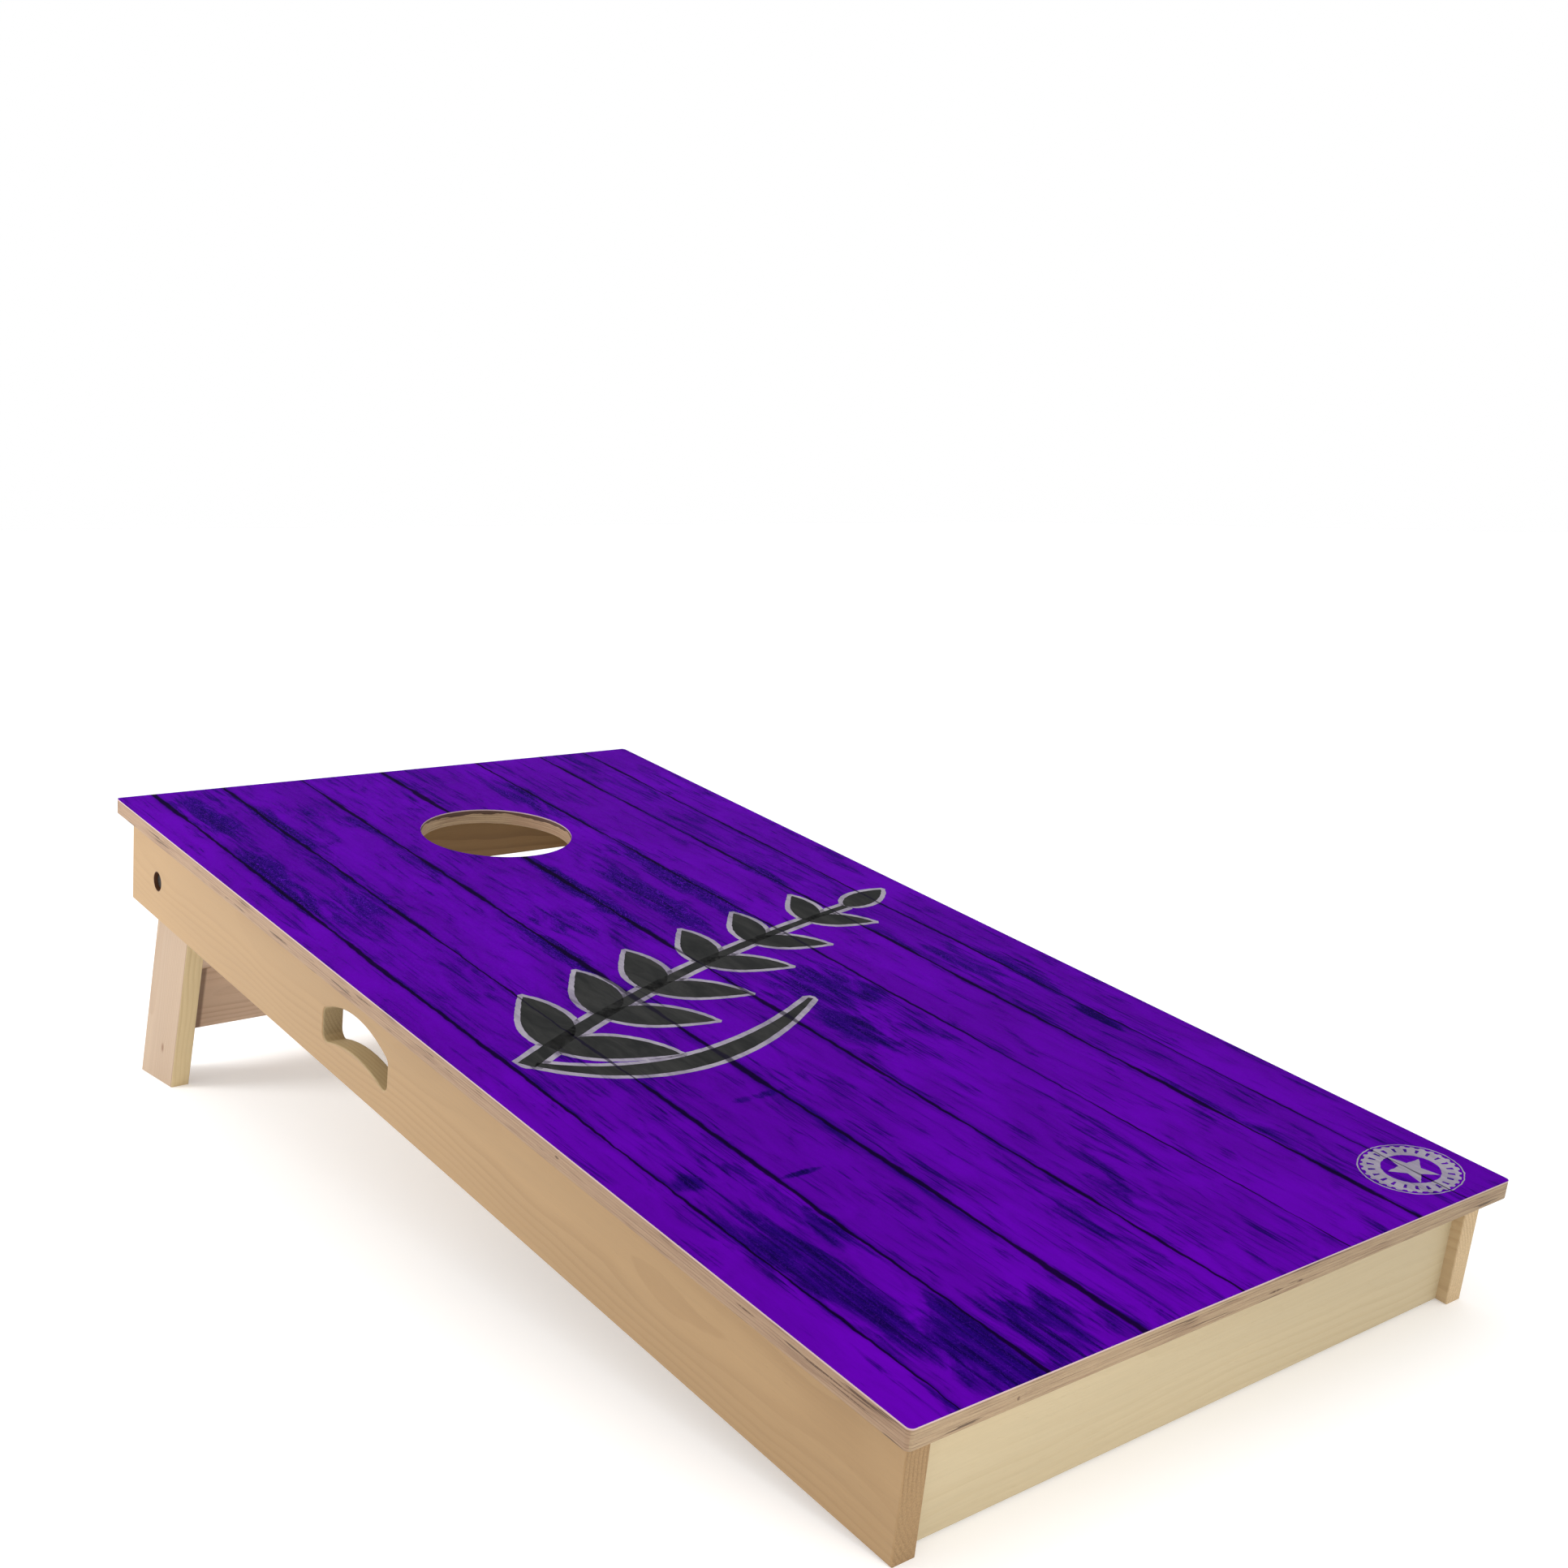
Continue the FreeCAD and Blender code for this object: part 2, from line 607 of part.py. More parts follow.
# The brace sits between the legs, flush with their back edges; its pocket screws are behind it.
brace_middle_y = leg_width / 2 - half_lumber
brace_screw_heights = [-brace_reach + brace_width / 4, -brace_reach - brace_width / 4]
brace_screws, brace_bores = end_screws("brace", leg_inner_x, brace_middle_y, -1, brace_screw_heights)


def make_leg(side, passing_screws):
    blank = new_body(f"{side}_leg_blank")
    inwards_is_minus_x = side == RIGHT
    outline = add_sketch(blank, "Outline", "YZ_Plane")
    add_leg_outline(outline)
    pad = add_pad(blank, outline, "Dims.lumber_thickness", reverse=inwards_is_minus_x)
    add_fillet(blank, pad, rim_edges(pad.Shape, Vector(1, 0, 0)), "Dims.eased_edge")
    bore = add_sketch(blank, "PivotBore", "YZ_Plane")
    add_circle(bore, "0", "0", "Dims.leg_bore")
    add_pocket(blank, bore, reverse=not inwards_is_minus_x)
    blank.Placement = Placement(Vector(SIDE_SIGN[side] * leg_face_x, 0, 0), Rotation())
    return cut_piece(f"{side}_leg", blank, hole_shapes(passing_screws), LEGS)


def make_leg_brace():
    blank = new_body("leg_brace_blank")
    outline = add_sketch(blank, "Outline", "YZ_Plane")
    add_rectangle(
        outline,
        "Dims.leg_width / 2 - Dims.lumber_thickness",
        "-Dims.brace_reach - Dims.brace_width / 2",
        "Dims.lumber_thickness",
        "Dims.brace_width",
    )
    pad = add_pad(blank, outline, "2 * Dims.leg_inner_x")
    add_fillet(blank, pad, edges_along(pad.Shape, Vector(1, 0, 0)), "Dims.eased_edge")
    blank.Placement = Placement(Vector(-leg_inner_x, 0, 0), Rotation())
    screws = brace_screws[LEFT] + brace_screws[RIGHT]
    return cut_piece("leg_brace", blank, hole_shapes(screws) + brace_bores, LEGS)


# --------------------------------------------------------------------------------- pivot hardware


def pivot_placement(side, distance_from_outer_face):
    """On a side's pivot axis, +Z pointing inwards from the rail's outer face."""
    sign = SIDE_SIGN[side]
    inwards = Rotation(Vector(0, 0, 1), Vector(-sign, 0, 0))
    across = sign * (rail_face_x - distance_from_outer_face)
    return BOARD * Placement(Vector(across, pivot_y, pivot_z), inwards)


def hexagon(name, height, chamfered_end):
    """A hexagon of the bolt's size across flats, one end turned down to a shallow chamfer."""
    prism = doc.addObject("Part::Prism", f"{name}_flats")
    prism.Polygon = 6
    prism.setExpression("Circumradius", "Dims.bolt_head_flats / 2 / cos(30 deg)")
    prism.setExpression("Height", height)
    small = "Dims.bolt_head_flats"
    large = f"(Dims.bolt_head_flats + 2 * ({height}) / tan(Dims.flats_chamfer_angle * 1 deg))"
    ends = (small, large) if chamfered_end == "bottom" else (large, small)
    envelope = cone(f"{name}_chamfer", ends[0], ends[1], height, 0.0)
    item = doc.addObject("Part::Common", f"{name}_hexagon")
    item.Base = prism
    item.Tool = envelope
    return item


def nut_distance():
    """From a rail's outer face to the outer end of its lock nut."""
    return rail_face_x - leg_inner_x + running_gap + washer_thickness


def make_pivot_bolt(side):
    """A hexagon bolt, its head at the bottom of the rail's recess, its shank through the leg."""
    name = f"{side}_pivot_bolt"
    head = hexagon(name, "Dims.bolt_head_height", "bottom")
    grip = counterbore_depth - washer_thickness
    nut_end = nut_distance() + nut_height + nut_collar_height
    shank_length = nut_end + bolt_end - grip - bolt_chamfer
    shank = doc.addObject("Part::Cylinder", f"{name}_shank")
    shank.setExpression("Radius", "Dims.bolt_diameter / 2")
    shank.Height = shank_length
    shank.Placement = Placement(Vector(0, 0, bolt_head_height), Rotation())
    end = cone(
        f"{name}_end",
        "Dims.bolt_diameter",
        "(Dims.bolt_diameter - 2 * Dims.bolt_chamfer)",
        "Dims.bolt_chamfer",
        bolt_head_height + shank_length,
    )
    bolt = fuse(name, [head, shank, end], pivot_placement(side, grip - bolt_head_height))
    bolt.Label = name
    return bolt


def make_ring(name, outer, inner_diameter, height, placement):
    """A washer or nut: an outer shape bored through."""
    bore = cylinder(f"{name}_bore", inner_diameter, height)
    ring = doc.addObject("Part::Cut", name)
    ring.Label = name
    ring.Base = outer
    ring.Tool = bore
    ring.Placement = placement
    return ring


def make_washer(name, side, distance):
    disc = cylinder(f"{name}_disc", "Dims.washer_diameter", "Dims.washer_thickness")
    placement = pivot_placement(side, distance)
    return make_ring(name, disc, "Dims.rail_bore", "Dims.washer_thickness", placement)


def make_lock_nut(side):
    """A hexagon nut with a round collar that holds a nylon insert."""
    name = f"{side}_lock_nut"
    body = hexagon(name, "Dims.nut_height", "bottom")
    collar = cylinder(f"{name}_collar", "Dims.nut_collar_diameter", "Dims.nut_collar_height", nut_height)
    outer = fuse(f"{name}_outside", [body, collar], Placement())
    bore = cylinder(f"{name}_bore", "Dims.bolt_diameter", "Dims.nut_height + Dims.nut_collar_height")
    seat_base = nut_height + nut_collar_height - nut_insert_height
    seat = cylinder(f"{name}_seat", "Dims.nut_insert_diameter", "Dims.nut_insert_height", seat_base)
    nut = doc.addObject("Part::Cut", name)
    nut.Label = name
    nut.Base = outer
    nut.Tool = compound(f"{name}_inside", [bore, seat])
    nut.Placement = pivot_placement(side, nut_distance())
    return nut


def make_nut_insert(side):
    name = f"{side}_nut_insert"
    ring = cylinder(f"{name}_ring", "Dims.nut_insert_diameter", "Dims.nut_insert_height")
    distance = nut_distance() + nut_height + nut_collar_height - nut_insert_height
    placement = pivot_placement(side, distance)
    return make_ring(name, ring, "Dims.bolt_diameter", "Dims.nut_insert_height", placement)


def make_pivot(side):
    """Bolt, three washers, lock nut and nut insert of one leg, all of them held by the frame."""
    return [
        make_pivot_bolt(side),
        make_washer(f"{side}_head_washer", side, counterbore_depth - washer_thickness),
        make_washer(f"{side}_spacer_washer", side, lumber_thickness),
        make_washer(f"{side}_nut_washer", side, rail_face_x - leg_inner_x + running_gap),
        make_lock_nut(side),
        make_nut_insert(side),
    ]


# -------------------------------------------------------------------------------------- assembly


def passing(side):
    """Every screw that runs into one side rail."""
    return rail_screws[side] + front_screws[side] + back_screws[side] + cross_end_screws[side]


def both(screws):
    return screws[LEFT] + screws[RIGHT]


nodes = [make_deck(), make_film()]
nodes += [make_side_rail(side, passing(side)) for side in (LEFT, RIGHT)]
nodes += [
    make_cross_piece("front_apron", front_apron_y, cross_screws["front"] + both(front_screws), front_bores),
    make_cross_piece("back_apron", back_apron_y, cross_screws["back"] + both(back_screws), back_bores),
    make_cross_piece(
        "center_cross_brace",
        cross_brace_y,
        cross_screws["middle"] + both(cross_end_screws),
        cross_bores,
    ),
]
nodes += [make_leg(side, brace_screws[side]) for side in (LEFT, RIGHT)]
nodes.append(make_leg_brace())
for side in (LEFT, RIGHT):
    nodes += make_pivot(side)
nodes += [
    node_group("deck_screws", deck_screws, BOARD),
    node_group("front_apron_screws", both(front_screws), BOARD),
    node_group("back_apron_screws", both(back_screws), BOARD),
    node_group("cross_brace_screws", both(cross_end_screws), BOARD),
    node_group("leg_brace_screws", both(brace_screws), LEGS),
]

doc.recompute()

# ------------------------------------------------------------------------------ checks and output

SCREWS_PER_CROSS_PIECE = 4
SOLIDS_IN_GROUP = {
    "deck_screws": 2 * RAIL_SCREWS + 3 * CROSS_SCREWS,
    "front_apron_screws": SCREWS_PER_CROSS_PIECE,
    "back_apron_screws": SCREWS_PER_CROSS_PIECE,
    "cross_brace_screws": SCREWS_PER_CROSS_PIECE,
    "leg_brace_screws": SCREWS_PER_CROSS_PIECE,
}

for item in doc.Objects:
    if {"Invalid", "Error"} & set(item.State):
        raise RuntimeError(f"{item.Label} did not recompute: {item.State}")

os.makedirs("parts", exist_ok=True)
for node in nodes:
    shape = node.Shape
    if shape.isNull() or not shape.isValid():
        raise RuntimeError(f"{node.Label} has no valid shape")
    expected = SOLIDS_IN_GROUP.get(node.Label, 1)
    if len(shape.Solids) != expected:
        raise RuntimeError(f"{node.Label} has {len(shape.Solids)} solids, not {expected}")
    shape.exportStep(os.path.join("parts", f"{node.Label}.step"))
    print(f"{node.Label}: {len(shape.Solids)} solids, {shape.Volume / 1000:.2f} cm3")

print(f"deck tilt {deck_tilt:.3f}, leg lean {leg_lean:.3f}, leg length {leg_length:.2f}")
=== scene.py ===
import json
import math
from collections import namedtuple

import bmesh
import bpy
from mathutils import Euler, Matrix, Vector, noise


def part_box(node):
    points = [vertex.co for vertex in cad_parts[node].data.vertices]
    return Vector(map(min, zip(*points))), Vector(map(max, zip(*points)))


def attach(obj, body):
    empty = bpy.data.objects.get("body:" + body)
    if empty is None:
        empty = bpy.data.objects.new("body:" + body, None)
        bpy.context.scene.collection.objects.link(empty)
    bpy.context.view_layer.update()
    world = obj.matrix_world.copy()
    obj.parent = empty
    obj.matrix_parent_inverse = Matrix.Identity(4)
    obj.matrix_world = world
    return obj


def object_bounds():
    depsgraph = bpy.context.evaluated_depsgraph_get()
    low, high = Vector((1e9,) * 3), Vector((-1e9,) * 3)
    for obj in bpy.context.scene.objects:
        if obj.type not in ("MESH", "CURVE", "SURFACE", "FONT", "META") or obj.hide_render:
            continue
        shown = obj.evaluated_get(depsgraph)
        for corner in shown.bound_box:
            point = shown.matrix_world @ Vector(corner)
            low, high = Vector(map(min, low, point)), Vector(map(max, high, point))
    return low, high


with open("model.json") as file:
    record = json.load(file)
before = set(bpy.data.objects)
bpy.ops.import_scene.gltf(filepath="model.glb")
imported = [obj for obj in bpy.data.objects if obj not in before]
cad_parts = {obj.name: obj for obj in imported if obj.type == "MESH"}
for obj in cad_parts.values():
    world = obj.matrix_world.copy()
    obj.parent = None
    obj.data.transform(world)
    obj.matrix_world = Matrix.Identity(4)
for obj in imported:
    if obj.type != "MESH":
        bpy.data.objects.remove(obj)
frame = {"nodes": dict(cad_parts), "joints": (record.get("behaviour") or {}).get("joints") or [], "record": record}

# A cornhole board: a print of worn purple planks on its deck, clear-coated plywood and lumber
# under it, black-oxide bolts, washers and nuts, and yellow-zinc screws. Lengths are metres. The CAD
# box is kept.

cad_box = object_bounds()
nodes = frame["nodes"]
mounts = {mount["name"]: mount for mount in frame["record"]["mounts"]}

# ------------------------------------------------------------------------- frames of reference
#
# Deck frame: X across from the left edge, Y along from the front edge, Z square to the deck from
# the plywood's top face. Leg frame: the same directions, leaning with the legs.

ACROSS = Vector((1, 0, 0))

film_low, film_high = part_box("printed_film")
deck_width = film_high.x - film_low.x
deck_normal = Vector(mounts["deck_top"]["axis"])
deck_tilt = math.atan2(-deck_normal.y, deck_normal.z)
DECK = Matrix.Translation(film_low) @ Matrix.Rotation(deck_tilt, 4, "X")
deck_along = DECK.to_3x3() @ Vector((0, 1, 0))
deck_up = DECK.to_3x3() @ Vector((0, 0, 1))
deck_length = (film_high.y - film_low.y) / math.cos(deck_tilt)

openings = {opening["name"]: opening["box_m"] for opening in frame["record"]["physics"]["openings"]}
hole_low, hole_high = openings["bag_hole_middle"]
bag_hole = DECK.inverted() @ ((Vector(hole_low) + Vector(hole_high)) / 2)
BAG_HOLE_RADIUS = 0.0762

pivot = Vector(frame["joints"][0]["pos_m"])
foot = Vector(mounts["left_foot"]["pos_m"])
leg_lean = math.atan2(foot.y - pivot.y, pivot.z - foot.z)
leg_up = Vector((0, -math.sin(leg_lean), math.cos(leg_lean)))
leg_across = Vector((0, math.cos(leg_lean), math.sin(leg_lean)))


# ---------------------------------------------------------------------------- material helpers

# A noise: its features to the metre along each axis of the place it is laid on, its octaves of
# finer detail, how strong those are, and how far it is warped.
Grain = namedtuple("Grain", "per_metre detail roughness warp", defaults=(2.0, 0.5, 0.0))


class Graph:
    """One material's node tree, with a short call for each kind of node used here."""

    def __init__(self, name):
        self.material = bpy.data.materials.new(name)
        self.material.use_nodes = True
        self.tree = self.material.node_tree
        self.tree.nodes.clear()
        self.shader = self.node("ShaderNodeBsdfPrincipled")
        output = self.node("ShaderNodeOutputMaterial")
        self.tree.links.new(self.shader.outputs["BSDF"], output.inputs["Surface"])
        self.coordinates = self.node("ShaderNodeTexCoord")

    def node(self, kind, **settings):
        item = self.tree.nodes.new(kind)
        for key, value in settings.items():
            setattr(item, key, value)
        return item

    def feed(self, socket, value):
        if isinstance(value, bpy.types.NodeSocket):
            self.tree.links.new(value, socket)
        else:
            socket.default_value = value

    def math(self, operation, first, second=0.0, third=0.0):
        item = self.node("ShaderNodeMath", operation=operation)
        for socket, value in zip(item.inputs, (first, second, third)):
            self.feed(socket, value)
        return item.outputs[0]

    def times(self, first, second):
        return self.math("MULTIPLY", first, second)

    def line(self, value, slope, start):
        """The value times a slope, plus a start."""
        return self.math("MULTIPLY_ADD", value, slope, start)

    def size(self, value):
        """The value without its sign."""
        return self.math("ABSOLUTE", value)

    def span(self, value, low, high, to_low=0.0, to_high=1.0):
        """The value eased from low..high to to_low..to_high and held inside that."""
        item = self.node("ShaderNodeMapRange", interpolation_type="SMOOTHSTEP")
        for socket, number in zip(item.inputs, (value, low, high, to_low, to_high)):
            self.feed(socket, number)
        return item.outputs[0]

    def contour(self, value, outside, inside):
        """Thin lines where a noise passes a half, faded between two distances from it."""
        return self.span(self.size(self.math("SUBTRACT", value, 0.5)), outside, inside)

    def tone(self, *layers):
        """A factor about 1 that each layer, from 0 to 1, moves up and down over its own width."""
        total = 1.0 - sum(width for _, width in layers) / 2
        for layer, width in layers:
            total = self.line(layer, width, total)
        return total

    def vector(self, operation, first, second=(0, 0, 0)):
        item = self.node("ShaderNodeVectorMath", operation=operation)
        self.feed(item.inputs[0], first)
        self.feed(item.inputs[1], second)
        return item.outputs["Value" if operation in ("LENGTH", "DOT_PRODUCT") else "Vector"]

    def axes(self, vector):
        item = self.node("ShaderNodeSeparateXYZ")
        self.feed(item.inputs[0], vector)
        return item.outputs

    def join(self, x, y, z):
        item = self.node("ShaderNodeCombineXYZ")
        for socket, value in zip(item.inputs, (x, y, z)):
            self.feed(socket, value)
        return item.outputs[0]

    def distance(self, place, centre, scale=(1.0, 1.0, 1.0)):
        """How far a place is from a centre, once each axis is scaled."""
        offset = self.vector("SUBTRACT", place, centre)
        return self.vector("LENGTH", self.vector("MULTIPLY", offset, scale))

    def places(self, matrix):
        """Places on the piece at rest, seen from the frame that the matrix stands for."""
        into = matrix.inverted()
        item = self.node("ShaderNodeMapping", vector_type="POINT")
        self.feed(item.inputs["Vector"], self.coordinates.outputs["Object"])
        item.inputs["Location"].default_value = into.translation
        item.inputs["Rotation"].default_value = into.to_euler()
        return item.outputs[0]

    def facing(self, direction):
        """How squarely the surface of the piece at rest faces a direction, from -1 to 1."""
        return self.vector("DOT_PRODUCT", self.coordinates.outputs["Normal"], tuple(direction))

    def noise(self, place, grain):
        """A grain's noise at a place: from 0 to 1, and mostly near a half."""
        item = self.node("ShaderNodeTexNoise")
        self.feed(item.inputs["Vector"], self.vector("MULTIPLY", place, grain.per_metre))
        for name, value in (
            ("Scale", 1.0),
            ("Detail", grain.detail),
            ("Roughness", grain.roughness),
            ("Distortion", grain.warp),
        ):
            self.feed(item.inputs[name], value)
        return item.outputs[0]

    def mix(self, share, first, second, blend="MIX"):
        item = self.node("ShaderNodeMix", data_type="RGBA", blend_type=blend)
        self.feed(item.inputs[0], share)
        self.feed(item.inputs[6], first)
        self.feed(item.inputs[7], second)
        return item.outputs[2]

    def stained(self, colour, mask, strength, stain):
        """A colour mixed with a stain where a mask is 1, as far as the strength says."""
        return self.mix(self.times(mask, strength), colour, stain)

    def scaled(self, colour, factor):
        """A colour made lighter or darker by a factor that varies over the surface."""
        return self.mix(1.0, colour, self.join(factor, factor, factor), "MULTIPLY")

    def tinted(self, colour, share, tint):
        """A colour multiplied by a tint, red, green and blue apart, over a share of the surface."""
        return self.mix(share, colour, self.mix(1.0, colour, (*tint, 1.0), "MULTIPLY"))

    def bump(self, height, depth):
        item = self.node("ShaderNodeBump")
        self.feed(item.inputs["Strength"], 1.0)
        self.feed(item.inputs["Distance"], depth)
        self.feed(item.inputs["Height"], height)
        self.feed(self.shader.inputs["Normal"], item.outputs[0])

    def finish(self, colour, roughness, specular):
        self.feed(self.shader.inputs["Base Color"], colour)
        self.feed(self.shader.inputs["Roughness"], roughness)
        self.shader.inputs["Specular IOR Level"].default_value = specular
        return self.material


def rgb(red, green, blue):
    """A colour from its screen values, 0 to 255."""
    return tuple(
        (c / 12.92 if c <= 0.04045 else ((c + 0.055) / 1.055) ** 2.4)
        for c in (red / 255, green / 255, blue / 255)
    ) + (1.0,)


def paint(name, material):
    piece = nodes[name]
    if not piece.material_slots:
        piece.data.materials.append(material)
    for slot in piece.material_slots:
        slot.material = material


# ---------------------------------------------------------------------------- the plank print

PURPLE = rgb(84, 0, 152)
INDIGO = rgb(26, 0, 96)
DEEP_BLUE = rgb(12, 0, 62)
NEAR_BLACK = rgb(8, 0, 30)
SCRATCH_VIOLET = rgb(92, 20, 178)
FILM_CORE = rgb(186, 166, 160)

# The printed planks: each seam's place as a share of the deck's width and how strong it is at the
# front and at the back, and how worn each plank is.
SEAMS = (
    (0.061, 0.45, 1.05),
    (0.180, 0.70, 0.90),
    (0.322, 1.40, 0.80),
    (0.477, 0.55, 1.45),
    (0.669, 0.22, 0.75),
    (0.805, 0.95, 0.60),
    (0.903, 0.55, 0.55),
)
PLANK_WEAR = (0.00, 0.62, 0.38, 0.36, 0.34, 0.06, 0.62, 0.18)

# How far the seams wander and tremble, how thin and thick they get on each side, and how far beside
# them the planks are more worn or glow a little darker.
SEAM_WANDER = 0.008
SEAM_TREMBLE = 0.0034
SEAM_HALF_WIDTHS = (0.0012, 0.0036)
BESIDE_SEAM = 0.016
SEAM_GLOW = 0.009

# The most worn places of the print: middle across and along the deck, half sizes, and depth.
WORN_PLACES = (
    (0.060, 0.140, 0.030, 0.130, 1.20),
    (0.085, 0.040, 0.040, 0.090, 1.00),
    (0.096, 0.215, 0.018, 0.070, 0.85),
    (0.140, 0.045, 0.060, 0.055, 0.85),
    (0.130, 0.264, 0.026, 0.004, 1.20),
    (0.052, 0.288, 0.014, 0.016, 1.10),
    (0.175, 0.375, 0.040, 0.006, 0.85),
    (0.042, 0.900, 0.012, 0.075, 1.30),
    (0.080, 0.855, 0.044, 0.060, 0.85),
    (0.062, 1.120, 0.024, 0.110, 0.90),
    (0.054, 0.965, 0.016, 0.100, 0.80),
    (0.112, 1.090, 0.016, 0.090, 0.80),
    (0.110, 0.930, 0.016, 0.060, 0.50),
    (0.160, 1.080, 0.040, 0.090, 0.50),
    (0.190, 0.700, 0.016, 0.110, 0.80),
    (0.228, 0.745, 0.036, 0.060, 0.60),
    (0.292, 0.800, 0.014, 0.150, 1.25),
    (0.345, 0.765, 0.026, 0.130, 0.95),
    (0.398, 0.800, 0.018, 0.170, 1.05),
    (0.395, 1.050, 0.022, 0.140, 0.80),
    (0.360, 0.520, 0.060, 0.070, 0.80),
    (0.330, 0.440, 0.026, 0.060, 1.00),
    (0.385, 0.420, 0.024, 0.050, 0.60),
    (0.330, 0.150, 0.028, 0.080, 0.45),
    (0.270, 0.100, 0.026, 0.080, 0.40),
    (0.494, 0.800, 0.016, 0.060, 0.80),
    (0.496, 0.200, 0.012, 0.110, 0.75),
    (0.520, 0.510, 0.028, 0.090, 0.60),
    (0.542, 0.370, 0.009, 0.036, 1.30),
    (0.560, 0.470, 0.026, 0.120, 0.55),
)

# The print's noises, across, along and into the deck, and how far apart into it two planks look.
WANDER = Grain((9.0, 4.0, 1.0), 3.0)
TREMBLE = Grain((30.0, 60.0, 1.0))
SEAM_WIDTH = Grain((14.0, 11.0, 1.0), 3.0)
STREAKS = Grain((230.0, 15.0, 5.0), 5.0, 0.62, 0.7)
BLOTCHES = Grain((50.0, 13.0, 5.0), 4.0, 0.60, 1.0)
CLOUDS = Grain((11.0, 5.0, 9.0), 2.0, 0.5, 0.6)
SPECKLE = Grain((420.0, 90.0, 5.0), 3.0, 0.6)
GRAIN_LINES = Grain((330.0, 7.0, 5.0), 2.0, 0.5, 0.5)
SWIRLS = Grain((170.0, 105.0, 5.0), 2.0, 0.5, 2.6)
THREADS = Grain((115.0, 2.4, 5.0), 1.0, 0.5, 0.4)
PLANK_OFFSET = 0.37

# How much of the wood's texture comes from each noise, how much a plank's own wear, and its seams'
# sides, count beside the most worn places, and how much all of that counts beside the texture.
STREAK_WEIGHT = 0.44
BLOTCH_WEIGHT = 0.34
LINE_WEIGHT = 0.22
WEAR_EXPOSURE = 0.30
SEAM_EXPOSURE = 0.45
EXPOSURE_WEIGHT = 0.115

# How widely the mottle, the clouds and the speckle move the purple's tone; below zero they darken.
MOTTLE_TONE = -0.18
CLOUD_TONE = -0.22
SPECKLE_TONE = 0.20
INK_SPECKLE_TONE = 0.5

# How strongly the deepest wear and the seams show through the ink.
WEAR_THROUGH_INK = 0.55
SEAM_THROUGH_INK = 0.75

# A slope and a start for the roughness, how far a worn place sinks beside the speckle's height, the
# relief's depth and the gloss.
PRINT_ROUGHNESS = (0.16, 0.56)
WORN_HEIGHT = -0.5
PRINT_RELIEF = 0.00004
PRINT_GLOSS = 0.005
INK_RELIEF = 0.00003
INK_GLOSS = 0.02

# The inks over the purple ground, first to last: the mask each follows, its strength and colour.
PRINT_INKS = (
    ("glow", 0.72, INDIGO),
    ("veil", 0.62, INDIGO),
    ("soft", 0.75, INDIGO),
    ("worn", 0.72, INDIGO),
    ("deep", 0.90, DEEP_BLUE),
    ("hairlines", 0.65, INDIGO),
    ("scratches", 1.00, SCRATCH_VIOLET),
    ("seam", 0.93, NEAR_BLACK),
)


def plank_seams(graph, place):
    """The distance to the nearest seam, less if that is strong, and the plank's wear and number."""
    across, along, _ = graph.axes(place)
    wander = graph.line(graph.noise(place, WANDER), SEAM_WANDER, -SEAM_WANDER / 2)
    tremble = graph.line(graph.noise(place, TREMBLE), SEAM_TREMBLE, -SEAM_TREMBLE / 2)
    wandered = graph.math("ADD", across, graph.math("ADD", wander, tremble))
    distance = deck_width
    wear = PLANK_WEAR[0]
    plank = 0.0
    for index, (share, at_front, at_back) in enumerate(SEAMS):
        offset = graph.math("SUBTRACT", wandered, share * deck_width)
        strength = graph.line(along, (at_back - at_front) / deck_length, at_front)
        weighed = graph.math("DIVIDE", graph.size(offset), strength)
        distance = graph.math("MINIMUM", distance, weighed)
        beyond = graph.math("GREATER_THAN", offset, 0.0)
        wear = graph.line(beyond, PLANK_WEAR[index + 1] - PLANK_WEAR[index], wear)
        plank = graph.math("ADD", plank, beyond)
    return distance, wear, plank


def worn_spots(graph, place):
    """How deep inside one of the most worn places a place is."""
    spots = 0.0
    for middle_across, middle_along, half_across, half_along, depth in WORN_PLACES:
        middle = (middle_across, middle_along, 0.0)
        distance = graph.distance(place, middle, (1 / half_across, 1 / half_along, 0.0))
        spots = graph.math("MAXIMUM", spots, graph.span(distance, 1.25, 0.25, 0.0, depth))
    return spots


